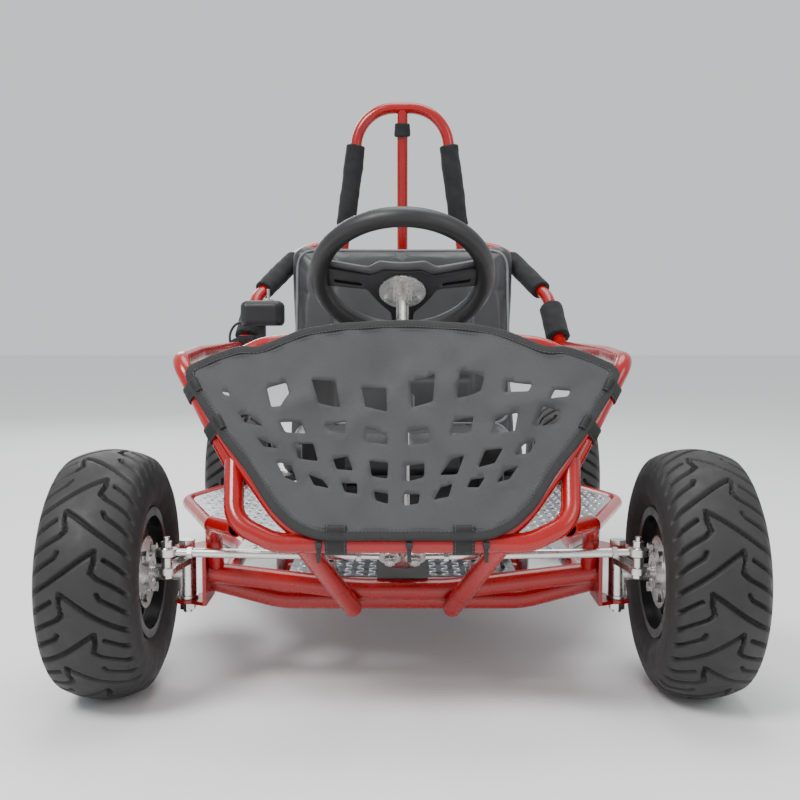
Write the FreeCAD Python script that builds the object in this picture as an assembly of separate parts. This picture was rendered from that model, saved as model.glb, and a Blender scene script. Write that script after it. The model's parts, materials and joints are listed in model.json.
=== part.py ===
"""Small off-road go-kart: tube frame, steering, wheels, drive, seat and soft trim.

Millimetres. +Z up, the nose points along -Y, the driver's right hand is at -X.
The origin is on the ground under the middle of the kart.
"""

import math
import os

import FreeCAD
import Part

V = FreeCAD.Vector

# ---------------------------------------------------------------- driving dimensions
WHEELBASE = 920.0
FRONT_HALF_TRACK = 390.0
REAR_HALF_TRACK = 350.0
TYRE_R = 165.0
TYRE_W = 127.0
RIM_HALF_W = 52.0
AXLE_Z = TYRE_R
FRONT_Y = -WHEELBASE / 2
REAR_Y = WHEELBASE / 2

TUBE_R = 12.5           # main frame tube, 25 mm
BEAM_R = 14.0           # front beam tubes, 28 mm
SMALL_R = 11.0          # hoop and rail tube, 22 mm
WALL = 1.8
RAIL_X = 168.0
RAIL_Z = 135.0
PAN_T = 2.0
PAN_TOP = RAIL_Z + TUBE_R + PAN_T

KINGPIN_X = 289.0
KINGPIN_R = 6.0
BARREL_R = 12.0
WEB_X = 264.5           # outer face of the kingpin bracket's web
BRACKET_LOW = 125.0
BRACKET_HIGH = 201.0
PLATE_T = 5.0

STUD_X = 302.0          # tie rod stud on the steering arm
STUD_Y = -525.0
ROD_Z = 206.0
ROD_R = 6.0

WHEEL_CENTRE = V(0, -150, 572)      # centre of the steering wheel's rim
COLUMN_TILT = 50.0                  # column above the horizontal
RIM_TORUS_R = 134.0
RIM_TUBE_R = 16.0
DISH = 26.0
COLUMN_R = 10.0
COLUMN_L = 512.0
PITMAN_R = 50.0
PITMAN_HALF = 16.0

NOSE_Y = -630.0
NOSE_Z = 240.0
TIP = V(286, -506, 450)
SHIELD_SLOPE = 0.60     # how far the shield leans back per unit of height
SHIELD_FOOT = V(0, -645, 247)
SHIELD_T = 2.5
RAIL_TOP_Z = 455.0
HOOP_Y = 262.0
HOOP_TOP_Z = 921.0

AXLE_R = 12.5
SPROCKET_X = -112.0
DISC_X = 112.0
TEETH_AXLE = 54
TEETH_MOTOR = 11
CHAIN_PITCH = 8.0
MOTOR_Y = 350.0
MOTOR_Z = 222.0
MOTOR_R = 52.0

PEDAL_X = 112.0
PEDAL_Y = -395.0
PEDAL_Z = 172.0
PEDAL_REACH = 165.0

SEAT_HALF = 205.0
SEAT_BASE_Z = 246.0
SEAT_LEAN = 10.0
SEAT_BACK_Y = 104.0
SEAT_BACK_T = 56.0
STUD_R = 4.0
BALL_R = 9.0
BALL_HALF = 6.5
EYE_ALONG = 524.0       # the rods' inner eyes, down the column
EYE_DROP = 2.1          # the eyes hang this much below the stud's middle at rest
EYE_R = 14.0
EYE_HALF = 4.0
EYE_HOLE = 7.0          # wide eye: the open pivot of the steering linkage
STUB_R = 8.0
DISC_INSET = 38.0       # rim disc, inboard of the wheel's middle
HUB_SEAT = 29.0
BOLT_CIRCLE = 38.0
LEVER_PIN_R = 5.0
KEY_R = 9.0
CABLE_R = 3.0
STUB_END = 438.0
RUN = 0.03              # radial clearance of a running fit

sin = math.sin
cos = math.cos
AXIS_X = V(1, 0, 0)
AXIS_Y = V(0, 1, 0)
AXIS_Z = V(0, 0, 1)
TILT = math.radians(COLUMN_TILT)
COLUMN_DOWN = V(0, -cos(TILT), -sin(TILT))
COLUMN_UP = V(0, -sin(TILT), cos(TILT))


# ---------------------------------------------------------------- shape helpers
def flip(shape):
    """The same shape on the other side of the kart."""
    return shape.mirror(V(0, 0, 0), AXIS_X)


def both(shape):
    """A shape and its mirror image."""
    return [shape, flip(shape)]


def flip_point(p):
    return V(-p.x, p.y, p.z)


def centreline(points, radii):
    """Straight runs joined by tangent arcs; radii holds one value per inner point."""
    edges = []
    last = points[0]
    for i in range(1, len(points) - 1):
        corner = points[i]
        back = (points[i - 1] - corner).normalize()
        ahead = (points[i + 1] - corner).normalize()
        half = back.getAngle(ahead) / 2
        reach = radii[i - 1] / math.tan(half)
        middle = (back + ahead).normalize()
        centre = corner + middle * (radii[i - 1] / sin(half))
        begin = corner + back * reach
        end = corner + ahead * reach
        if (begin - last).Length > 0.01:
            edges.append(Part.LineSegment(last, begin).toShape())
        edges.append(Part.Arc(begin, centre - middle * radii[i - 1], end).toShape())
        last = end
    edges.append(Part.LineSegment(last, points[-1]).toShape())
    return Part.Wire(edges)


def rod(points, radii, r):
    """A round bar along a centreline."""
    path = centreline(points, radii)
    ring = Part.Wire(Part.Circle(points[0], points[1] - points[0], r).toShape())
    return path.makePipeShell([ring], True, False)


class Tube:
    """A bent steel tube: its full outer bar, and the hollow piece after coping."""

    def __init__(self, points, radii=(), r=TUBE_R, wall=WALL):
        self.bar = rod(points, radii, r)
        self.piece = self.bar.cut(rod(points, radii, r - wall))

    def flipped(self):
        twin = Tube.__new__(Tube)
        twin.bar = flip(self.bar)
        twin.piece = flip(self.piece)
        return twin

    def coped(self, *others):
        """Saddle cut where the tube meets others; the longest remainder is kept."""
        for other in others:
            tool = other.bar if isinstance(other, Tube) else other
            self.piece = largest(self.piece.cut(tool))
        return self


def largest(shape):
    return max(shape.Solids, key=lambda solid: solid.Volume)


def pin(start, end, r):
    """A cylinder from one point to another."""
    return Part.makeCylinder(r, (end - start).Length, start, end - start)


def ring(start, end, r_out, r_in):
    return pin(start, end, r_out).cut(pin(start, end, r_in))


def hexagon(start, end, across):
    """A hexagonal prism between two points, as a bolt head or nut."""
    axis = (end - start).normalize()
    side = axis.cross(AXIS_Z if abs(axis.z) < 0.9 else AXIS_X).normalize()
    other = axis.cross(side)
    r = across / math.sqrt(3)
    corners = [
        start + side * (r * cos(k * math.pi / 3)) + other * (r * sin(k * math.pi / 3))
        for k in range(7)
    ]
    return Part.Face(Part.makePolygon(corners)).extrude(end - start)


def nut(start, end, across, r_in):
    return hexagon(start, end, across).cut(pin(start, end, r_in))


def box(x0, x1, y0, y1, z0, z1):
    return Part.makeBox(x1 - x0, y1 - y0, z1 - z0, V(x0, y0, z0))


def plate(outline, thick):
    """A flat plate from its corner points, extruded by a vector."""
    return Part.Face(Part.makePolygon(outline + [outline[0]])).extrude(thick)


def lathe_x(profile, x0):
    """A solid of revolution about an axle along X from (x, r) points."""
    points = [V(x0 + x, 0, r) for x, r in profile]
    face = Part.Face(Part.makePolygon(points + [points[0]]))
    return face.revolve(V(0, 0, 0), AXIS_X, 360)


def at_axle(shape, y):
    moved = shape.copy()
    moved.translate(V(0, y, AXLE_Z))
    return moved


def around_x(shape, y, z, count, start=0.0):
    """Copies of a shape turned evenly about an axle along X."""
    copies = []
    for k in range(count):
        twin = shape.copy()
        twin.rotate(V(0, y, z), AXIS_X, start + 360.0 * k / count)
        copies.append(twin)
    return copies


def column_point(along, up=0.0, side=0.0):
    """A point measured down the column from the wheel's centre."""
    return WHEEL_CENTRE + COLUMN_DOWN * along + COLUMN_UP * up + AXIS_X * side


def write(name, *shapes):
    """One STEP file per node, holding its separate solids."""
    solids = []
    for shape in shapes:
        for item in shape if isinstance(shape, list) else [shape]:
            solids.extend(item.Solids)
    body = solids[0] if len(solids) == 1 else Part.makeCompound(solids)
    bad = "" if body.isValid() else "  NOT VALID"
    print(f"{name}: {len(solids)} solids, {body.Volume / 1000:.1f} cm3{bad}")
    body.exportStep(f"parts/{name}.step")


# ---------------------------------------------------------------- frame
def shield_point(x, z, behind=0.0):
    """A point on the leaning plane of the cloth shield, or this far behind it."""
    y = SHIELD_FOOT.y + SHIELD_SLOPE * (z - SHIELD_FOOT.z) + behind
    return V(x, y, z)


def make_frame():
    """All welded tubes. Later tubes are coped to earlier ones."""
    f = {}
    f["beam"] = Tube(
        [V(-WEB_X + PLATE_T, FRONT_Y, 165), V(-60, FRONT_Y, 141),
         V(60, FRONT_Y, 141), V(WEB_X - PLATE_T, FRONT_Y, 165)], [300, 300], BEAM_R)
    low_y = FRONT_Y + 26
    f["lower"] = Tube(
        [V(-WEB_X + PLATE_T, low_y, 147), V(-165, low_y, 122),
         V(165, low_y, 122), V(WEB_X - PLATE_T, low_y, 147)], [140, 140], BEAM_R)
    for name in ("beam", "lower"):
        f[name].coped(*both(kingpin_bracket()))
    rail = Tube(
        [V(152, low_y + 4, 121), V(154, -385, 124), V(RAIL_X, -300, RAIL_Z),
         V(RAIL_X, 588, RAIL_Z)], [60, 200]).coped(f["lower"], f["beam"])
    f["rail_left"], f["rail_right"] = rail, rail.flipped()
    for name, y in (("cross_front", -322.0), ("cross_mid", -20.0), ("cross_seat", 160.0),
                    ("cross_rear", 588.0)):
        f[name] = Tube([V(-RAIL_X, y, RAIL_Z), V(RAIL_X, y, RAIL_Z)], [], SMALL_R)
        f[name].coped(f["rail_left"], f["rail_right"])

    wing = Tube(
        [V(236, low_y + 6, 158), V(236, -300, 165), V(294, -214, 170), V(399, 75, 170),
         V(346, 222, 170), V(RAIL_X + 4, 222, 150)], [70, 70, 90, 60], SMALL_R)
    wing.coped(f["lower"], f["rail_left"], f["beam"])
    f["wing_left"], f["wing_right"] = wing, wing.flipped()

    f["nose"] = Tube(
        [V(-206, -573, 330), V(-201, -617, 262), V(-150, NOSE_Y, NOSE_Z), V(150, NOSE_Y, NOSE_Z),
         V(201, -617, 262), V(206, -573, 330)], [40, 60, 60, 40], 12.0)
    strut_end = V(66, FRONT_Y - 10, 118)
    strut = Tube([V(118, NOSE_Y, NOSE_Z), strut_end], [])
    strut.coped(f["nose"], f["beam"], f["lower"])
    f["strut_left"], f["strut_right"] = strut, strut.flipped()
    support = Tube(
        [V(199, -612, 254), V(236, -560, 250), V(246, -500, 224), V(250, FRONT_Y - 2, 174)],
        [40, 50], SMALL_R)
    support.coped(f["nose"], f["beam"], kingpin_bracket())
    f["support_left"], f["support_right"] = support, support.flipped()

    rail = Tube(
        [V(206, -566, 318), TIP, V(290, -360, RAIL_TOP_Z), V(284, 32, RAIL_TOP_Z),
         V(270, 108, 545), V(198, 246, 640), V(118, HOOP_Y, 656)],
        [34, 300, 45, 60, 60], SMALL_R)
    hoop_foot = V(186, HOOP_Y, RAIL_Z)
    hoop_side = V(82, HOOP_Y, HOOP_TOP_Z)
    f["hoop"] = Tube(
        [flip_point(hoop_foot), flip_point(hoop_side), hoop_side, hoop_foot], [76, 76], SMALL_R)
    f["hoop"].coped(f["rail_left"], f["rail_right"])
    rail.coped(f["nose"], f["hoop"])
    f["side_left"], f["side_right"] = rail, rail.flipped()

    behind = 12.5
    side = Tube([shield_point(268, 438, behind), shield_point(222, 362, behind),
                 shield_point(182, 312, behind), shield_point(146, 268, behind),
                 V(116, NOSE_Y + 3, 246)], [300, 200, 120], 9.0)
    side.coped(f["nose"], f["side_left"], f["strut_left"])
    f["panel_side_left"], f["panel_side_right"] = side, side.flipped()
    f["top_bar"] = Tube(
        [V(-271, -517, 425), V(-180, -491, 470), V(0, -479, 488), V(180, -491, 470),
         V(271, -517, 425)], [60, 900, 60], SMALL_R)
    f["top_bar"].coped(f["side_left"], f["side_right"], f["panel_side_left"], f["panel_side_right"])

    brace_top = V(0, HOOP_Y, HOOP_TOP_Z - 4)
    f["brace"] = Tube(
        [brace_top, V(0, 318, 560), V(0, 560, 300), V(0, 628, 236)], [260, 200], 10.5)
    f["bumper"] = Tube(
        [V(-RAIL_X, 588, RAIL_Z), V(-RAIL_X, 634, 232), V(RAIL_X, 634, 232),
         V(RAIL_X, 588, RAIL_Z)], [50, 50], SMALL_R)
    f["bumper"].coped(f["rail_left"], f["rail_right"], f["cross_rear"])
    f["brace"].coped(f["hoop"], f["bumper"])

    post = Tube([V(0, -322, RAIL_Z), V(0, -300, 362)], [], 10.0)
    f["post"] = post.coped(f["cross_front"])
    return f


def kingpin_bracket():
    """Folded C bracket at the right end of the beam, with a round nose on each lug."""
    half = 17.0
    web = box(WEB_X - PLATE_T, WEB_X, FRONT_Y - 26, FRONT_Y + 40, BRACKET_LOW, BRACKET_HIGH)
    lugs = []
    for z in (BRACKET_LOW, BRACKET_HIGH - PLATE_T):
        lug = box(WEB_X, KINGPIN_X, FRONT_Y - half, FRONT_Y + half, z, z + PLATE_T)
        nose = Part.makeCylinder(half, PLATE_T, V(KINGPIN_X, FRONT_Y, z))
        flare = plate([V(WEB_X, FRONT_Y - 26, z), V(KINGPIN_X - 8, FRONT_Y - half, z),
                       V(KINGPIN_X - 8, FRONT_Y + half, z), V(WEB_X, FRONT_Y + 40, z)],
                      V(0, 0, PLATE_T))
        lugs.append(lug.fuse(nose).fuse(flare))
    body = web.fuse(lugs).removeSplitter()
    bore = Part.makeCylinder(KINGPIN_R, 120, V(KINGPIN_X, FRONT_Y, 110))
    return body.cut(bore)


def write_frame(f):
    write("front_axle_beam", f["beam"].piece, f["lower"].piece)
    write("kingpin_brackets", both(kingpin_bracket()))
    write("nose_hoop", f["nose"].piece)
    write("nose_struts", [f[n].piece for n in ("strut_left", "strut_right", "support_left",
                                               "support_right")])
    write("side_rails", f["side_left"].piece, f["side_right"].piece)
    write("panel_frame", f["panel_side_left"].piece, f["panel_side_right"].piece, f["top_bar"].piece)
    write("roll_hoop", f["hoop"].piece)
    write("floor_frame", [f[n].piece for n in ("rail_left", "rail_right", "cross_front",
                                               "cross_mid", "cross_seat", "cross_rear")])
    write("wing_tubes", f["wing_left"].piece, f["wing_right"].piece)
    write("rear_frame", f["bumper"].piece, f["brace"].piece)


def write_floor(f):
    """Diamond plate floor between the rails, and a raised step in each wing."""
    z = PAN_TOP - PAN_T
    floor = box(-160, 160, -418, 236, z, PAN_TOP)
    for name in ("post", "rail_left", "rail_right"):
        floor = floor.cut(f[name].bar)
    write("floor_pan", floor)
    step_z = 174.0
    outline = [V(174, 214, step_z), V(346, 214, step_z), V(389, 110, step_z),
               V(385, 50, step_z), V(294, -206, step_z), V(236, -290, step_z),
               V(236, -405, step_z), V(174, -405, step_z)]
    step = plate(outline, V(0, 0, PAN_T))
    riser = box(174, 176, -405, 214, RAIL_Z, step_z)
    step = step.fuse(riser)
    for name in ("wing_left", "rail_left"):
        step = largest(step.cut(f[name].bar))
    write("wing_steps", both(step))


# ---------------------------------------------------------------- seat and soft trim
def rounded_pad(width, depth, height, r):
    """A cushion block with rounded edges, its base centre at the origin."""
    pad = Part.makeBox(width, depth, height, V(-width / 2, -depth / 2, 0))
    return pad.makeFillet(r, pad.Edges)


def seat_parts():
    base = rounded_pad(2 * SEAT_HALF, 270, 62, 22)
    base.translate(V(0, -2, SEAT_BASE_Z))
    back = rounded_pad(2 * SEAT_HALF, SEAT_BACK_T, 400, 24)
    back.rotate(V(0, 0, 0), AXIS_X, -SEAT_LEAN)
    back.translate(V(0, SEAT_BACK_Y, SEAT_BASE_Z - 4))
    base = base.cut(back)
    return base, back


def seat_shell(back):
    """Moulded pan under and behind the cushions."""
    x = SEAT_HALF - 10
    under = box(-x, x, -128, SEAT_BACK_Y + 34, SEAT_BASE_Z - 8, SEAT_BASE_Z)
    rear = Part.makeBox(2 * x, 6, 380, V(-x, SEAT_BACK_T / 2, 0))
    rear.rotate(V(0, 0, 0), AXIS_X, -SEAT_LEAN)
    rear.translate(V(0, SEAT_BACK_Y, SEAT_BASE_Z - 4))
    return under.fuse(rear).cut(back)


def write_seat():
    base, back = seat_parts()
    write("seat_base_cushion", base)
    write("seat_back_cushion", back)
    write("seat_shell", seat_shell(back))
    brackets = []
    bolts = []
    for y in (-100.0, 104.0):
        for x in (-140.0, 140.0):
            foot = box(x - 20, x + 20, y - 18, y + 18, PAN_TOP, PAN_TOP + 3)
            wall = box(x - 2, x + 2, y - 18, y + 18, PAN_TOP, SEAT_BASE_Z - 8)
            lip = box(x - 20, x + 20, y - 18, y + 18, SEAT_BASE_Z - 11, SEAT_BASE_Z - 8)
            brackets.append(foot.fuse(wall).fuse(lip).removeSplitter())
            bolts.append(hexagon(V(x + 11, y, PAN_TOP + 3), V(x + 11, y, PAN_TOP + 8), 10))
    write("seat_brackets", brackets, bolts)


def foam(tube_points, radii, r_out, r_in):
    return rod(tube_points, radii, r_out).cut(rod(tube_points, radii, r_in))


def write_foam(f):
    """Foam sleeves, a loose fit on their tubes, and the rubber collar on the brace."""
    low = V(186, HOOP_Y, RAIL_Z)
    side = V(82, HOOP_Y, HOOP_TOP_Z)
    direction = (side - low).normalize()
    top = low + direction * ((848 - RAIL_Z) / direction.z)
    bottom = low + direction * ((690 - RAIL_Z) / direction.z)
    collar = ring(V(0, HOOP_Y + 5, 866), V(0, HOOP_Y + 1, 892), 16, 4).cut(f["brace"].bar)
    write("roll_hoop_pads", both(foam([bottom, top], [], 19.0, SMALL_R + RUN)), collar)
    a = V(270, 108, 545)
    b = V(198, 246, 640)
    run = (b - a).normalize()
    upper = foam([a + run * 26, b - run * 34], [], 18.5, SMALL_R + RUN)
    c = V(284, 32, RAIL_TOP_Z)
    rise = (a - c).normalize()
    lower = foam([c + rise * 22, a - rise * 24], [], 21.5, SMALL_R + RUN)
    write("side_rail_pads", both(upper), both(lower))


def write_shield():
    """The cloth nose shield as a thin sheet just ahead of its frame."""
    half = [(0, 501), (76, 497), (126, 490), (156, 478), (184, 466), (206, 468), (238, 458),
            (276, 440), (262, 413), (224, 362), (186, 321), (157, 281), (131, 259), (100, 247)]
    outline = [shield_point(x, z) for x, z in half]
    outline += [shield_point(-x, z) for x, z in reversed(half[1:])]
    normal = V(0, -1, SHIELD_SLOPE).normalize()
    write("front_panel", plate(outline, normal * SHIELD_T))


def band(centre, along, r_tube, width, gap=0.3, thick=2.2):
    """A webbing or nylon loop round a tube."""
    axis = V(along).normalize() * width
    return ring(centre - axis * 0.5, centre + axis * 0.5, r_tube + gap + thick, r_tube + gap)


def write_ties(f):
    """Webbing loops and nylon ties that hold the shield to its tubes."""
    straps = [band(V(x, NOSE_Y, NOSE_Z), AXIS_X, 12.0, 25) for x in (-78.0, 72.0)]
    foot = V(206, -566, 318)
    rise = TIP - foot
    for share in (0.33, 0.70):
        spot = foot + rise * share
        loop = band(spot, rise, SMALL_R, 20)
        for name in ("panel_side_left", "nose", "top_bar"):
            loop = loop.cut(f[name].bar)
        straps += both(largest(loop))
    ties = [band(V(x, NOSE_Y, NOSE_Z), AXIS_X, 12.0, 5, 0.2, 1.6) for x in (-98.0, 8.0, 98.0)]
    write("panel_straps", straps, ties)


# ---------------------------------------------------------------- steering
def on_column(shape):
    """From local axes (side, up the wheel's face, down the column) to the kart."""
    moved = shape.copy()
    moved.rotate(V(0, 0, 0), AXIS_X, 90 + COLUMN_TILT)
    moved.translate(WHEEL_CENTRE)
    return moved


def write_steering_wheel():
    rim = Part.makeTorus(RIM_TORUS_R, RIM_TUBE_R)
    hub = pin(V(0, 0, DISH - 5), V(0, 0, DISH + 3), 44)
    body = rim.fuse(hub)
    for angle, inner, outer in ((0, 22, 15), (180, 22, 15), (270, 30, 24)):
        start = [V(34, -inner, DISH - 5), V(34, inner, DISH - 5), V(34, inner, DISH + 1),
                 V(34, -inner, DISH + 1)]
        end = [V(126, -outer, -4), V(126, outer, -4), V(126, outer, 4), V(126, -outer, 4)]
        wires = [Part.makePolygon(w + [w[0]]) for w in (start, end)]
        spoke = Part.makeLoft(wires, True, True)
        slot = box(56, 104, -5, 5, -10, DISH + 10)
        spoke = spoke.cut(slot)
        spoke.rotate(V(0, 0, 0), AXIS_Z, angle)
        body = body.fuse(spoke)
    body = body.cut(pin(V(0, 0, DISH - 10), V(0, 0, DISH + 6), COLUMN_R))
    for k in range(3):
        angle = math.radians(90 + 120 * k)
        spot = V(28 * cos(angle), 28 * sin(angle), DISH - 10)
        body = body.cut(pin(spot, spot + V(0, 0, 20), 3.0))
    write("steering_wheel", on_column(body))


def write_steering_column():
    flange = pin(V(0, 0, DISH + 3), V(0, 0, DISH + 7), 37)
    shaft = pin(V(0, 0, DISH - 5), V(0, 0, COLUMN_L), COLUMN_R)
    sleeve = pin(V(0, 0, DISH + 7), V(0, 0, DISH + 22), 15)
    body = flange.fuse(shaft).fuse(sleeve)
    bolts = []
    for k in range(3):
        angle = math.radians(90 + 120 * k)
        spot = V(28 * cos(angle), 28 * sin(angle), 0)
        up = V(0, 0, 1)
        body = body.cut(pin(spot + up * DISH, spot + up * (DISH + 10), 3.0))
        bolt = pin(spot + up * (DISH - 5), spot + up * (DISH + 11), 3.0)
        bolt = bolt.fuse(hexagon(spot + up * (DISH - 9), spot + up * (DISH - 5), 10))
        bolt = bolt.fuse(hexagon(spot + up * (DISH + 7), spot + up * (DISH + 11), 10))
        bolts.append(on_column(bolt))
    body = body.cut(pin(V(0, 0, DISH - 6), V(0, 0, COLUMN_L - 12), COLUMN_R - 2))
    outline = [V(-13, -12, COLUMN_L - 6), V(13, -12, COLUMN_L - 6), V(28, PITMAN_R - 6, COLUMN_L - 6),
               V(28, PITMAN_R + 10, COLUMN_L - 6), V(-28, PITMAN_R + 10, COLUMN_L - 6),
               V(-28, PITMAN_R - 6, COLUMN_L - 6)]
    pitman = plate(outline, V(0, 0, 6))
    body = body.fuse(pitman)
    studs = []
    for side in (-PITMAN_HALF, PITMAN_HALF):
        spot = V(side, PITMAN_R, 0)
        up = V(0, 0, 1)
        body = body.cut(pin(spot + up * (COLUMN_L - 10), spot + up * (COLUMN_L + 4), STUD_R))
        stud = pin(spot + up * (COLUMN_L - 6), spot + up * (EYE_ALONG + 15), STUD_R)
        stud = stud.fuse(hexagon(spot + up * (COLUMN_L - 11), spot + up * (COLUMN_L - 6), 13))
        stud = stud.fuse(hexagon(spot + up * (EYE_ALONG + 8), spot + up * (EYE_ALONG + 13), 13))
        studs.append(on_column(stud))
    write("steering_column", on_column(body))
    write("column_fasteners", bolts, studs)


def write_column_supports(f):
    """The post with its upper housing, the dark lower bracket, and the plastic bushes."""
    shaft_hole = pin(column_point(200), column_point(COLUMN_L), 13)
    low = (462.0, 490.0)
    high = (240.0, 280.0)
    bushes = []
    housings = []
    for s0, s1 in (high, low):
        housings.append(ring(column_point(s0), column_point(s1), 18, 13))
        bushes.append(ring(column_point(s0), column_point(s1), 13, COLUMN_R + RUN))
    full = pin(column_point(high[0]), column_point(high[1]), 18)
    post = largest(f["post"].piece.cut(full).cut(shaft_hole))
    post = post.fuse(housings[0])
    web = box(-34, 34, -459, -453, 146, 206).fuse(box(-34, -29, -459, -438, 146, 190))
    web = web.fuse(box(29, 34, -459, -438, 146, 190))
    web = web.cut(f["beam"].bar).cut(f["lower"].bar).cut(shaft_hole)
    write("column_supports", post, largest(web).fuse(housings[1]), bushes)


def spindle():
    """Barrel, stub axle and steering arm of the +X side."""
    barrel = pin(V(KINGPIN_X, FRONT_Y, 134), V(KINGPIN_X, FRONT_Y, 192), BARREL_R)
    shoulder = pin(V(KINGPIN_X, FRONT_Y, AXLE_Z), V(KINGPIN_X + 42, FRONT_Y, AXLE_Z), 11)
    stub = pin(V(KINGPIN_X, FRONT_Y, AXLE_Z), V(STUB_END, FRONT_Y, AXLE_Z), STUB_R)
    arm = plate([V(KINGPIN_X - 9, FRONT_Y, 178), V(KINGPIN_X + 11, FRONT_Y, 178),
                 V(STUD_X + 11, STUD_Y, 178), V(STUD_X - 9, STUD_Y, 178)], V(0, 0, 8))
    boss = pin(V(STUD_X, STUD_Y, 178), V(STUD_X, STUD_Y, 186), 11.5)
    body = barrel.fuse([shoulder, stub, arm, boss])
    body = body.cut(pin(V(KINGPIN_X, FRONT_Y, 120), V(KINGPIN_X, FRONT_Y, 200), KINGPIN_R + RUN))
    return body.cut(pin(V(STUD_X, STUD_Y, 170), V(STUD_X, STUD_Y, 190), STUD_R))


def kingpin_bolt():
    foot = V(KINGPIN_X, FRONT_Y, 0)
    up = AXIS_Z
    shank = pin(foot + up * (BRACKET_LOW - 14), foot + up * BRACKET_HIGH, KINGPIN_R)
    head = hexagon(foot + up * BRACKET_HIGH, foot + up * (BRACKET_HIGH + 8), 19)
    low = hexagon(foot + up * (BRACKET_LOW - 10), foot + up * BRACKET_LOW, 19)
    return shank.fuse(head).fuse(low)


def kingpin_washers():
    foot = V(KINGPIN_X, FRONT_Y, 0)
    return [ring(foot + AXIS_Z * z0, foot + AXIS_Z * z1, 14, KINGPIN_R + RUN)
            for z0, z1 in ((BRACKET_LOW + PLATE_T + 0.3, 134), (192, BRACKET_HIGH - PLATE_T - 0.3))]


def arm_stud():
    """Bolt through the steering arm that carries the rod end's ball."""
    foot = V(STUD_X, STUD_Y, 0)
    up = AXIS_Z
    bolt = pin(foot + up * 173, foot + up * 226, STUD_R)
    bolt = bolt.fuse(hexagon(foot + up * 172.5, foot + up * 178, 13))
    spacer = pin(foot + up * 186, foot + up * (ROD_Z - BALL_HALF - 0.3), 7)
    lock = hexagon(foot + up * (ROD_Z + BALL_HALF + 0.3), foot + up * 220, 13)
    return bolt.fuse(spacer).fuse(lock)


def rod_ball():
    centre = V(STUD_X, STUD_Y, ROD_Z)
    ball = Part.makeSphere(BALL_R, centre)
    slab = box(STUD_X - 20, STUD_X + 20, STUD_Y - 20, STUD_Y + 20,
               ROD_Z - BALL_HALF, ROD_Z + BALL_HALF)
    hole = pin(centre - AXIS_Z * 20, centre + AXIS_Z * 20, STUD_R + RUN)
    return ball.common(slab).cut(hole)


def tie_rod():
    """Rod of the +X side, from the ball end to the eye at the pitman plate."""
    outer = V(STUD_X, STUD_Y, ROD_Z)
    inner = column_point(EYE_ALONG, PITMAN_R, PITMAN_HALF) - AXIS_Z * EYE_DROP
    along = (inner - outer).normalize()
    body = pin(outer + along * 12, inner - along * (EYE_R - 1), 4.5)
    body = body.fuse(pin(outer + along * 34, inner - along * 44, ROD_R))
    body = body.fuse(hexagon(outer + along * 27, outer + along * 33, 13))
    body = body.fuse(hexagon(inner - along * 43, inner - along * 37, 13))
    socket = pin(outer - AXIS_Z * 4.5, outer + AXIS_Z * 4.5, 13.5)
    eye = pin(inner - COLUMN_DOWN * EYE_HALF, inner + COLUMN_DOWN * EYE_HALF, EYE_R)
    body = body.fuse(socket).fuse(eye)
    body = body.cut(Part.makeSphere(BALL_R + 0.1, outer))
    body = body.cut(pin(outer - AXIS_Z * 9, outer + AXIS_Z * 9, 7.2))
    slot_along = COLUMN_DOWN * 12
    hole = pin(inner - slot_along, inner + slot_along, EYE_HOLE)
    return body.cut(hole)


def write_front_corners():
    for name, side in (("left", lambda shape: shape), ("right", flip)):
        washers = [side(w) for w in kingpin_washers()]
        write(f"spindle_{name}", side(spindle()), washers, side(arm_stud()), side(axle_nut()))
        write(f"rod_ball_{name}", side(rod_ball()))
        write(f"tie_rod_{name}", side(tie_rod()))
        write(f"front_tyre_{name}", side(at_axle(tyre(FRONT_HALF_TRACK), FRONT_Y)))
        write(f"front_rim_{name}", side(at_axle(rim(FRONT_HALF_TRACK), FRONT_Y)))
        hub = [side(at_axle(shape, FRONT_Y)) for shape in front_hub()]
        write(f"front_hub_{name}", hub)
    write("kingpin_bolts", both(kingpin_bolt()))


# ---------------------------------------------------------------- wheels
def tyre(x0):
    """A hollow carcass with a crowned tread and bulged walls."""
    def arc(a, b, c):
        return Part.Arc(V(x0 + a[0], 0, a[1]), V(x0 + b[0], 0, b[1]), V(x0 + c[0], 0, c[1])).toShape()

    def line(a, b):
        return Part.LineSegment(V(x0 + a[0], 0, a[1]), V(x0 + b[0], 0, b[1])).toShape()

    w = TYRE_W / 2
    r = TYRE_R
    bead = RIM_HALF_W
    edges = [
        line((-bead, 78), (-bead, 88)), arc((-bead, 88), (-w, 120), (-52, 152)),
        arc((-52, 152), (0, r), (52, 152)), arc((52, 152), (w, 120), (bead, 88)),
        line((bead, 88), (bead, 78)), line((bead, 78), (bead - 7, 78)),
        line((bead - 7, 78), (bead - 7, 88)), arc((bead - 7, 88), (w - 7, 120), (44, 143)),
        arc((44, 143), (0, r - 11), (-44, 143)), arc((-44, 143), (7 - w, 120), (7 - bead, 88)),
        line((7 - bead, 88), (7 - bead, 78)), line((7 - bead, 78), (-bead, 78)),
    ]
    face = Part.Face(Part.Wire(edges))
    return face.revolve(V(0, 0, 0), AXIS_X, 360)


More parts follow.
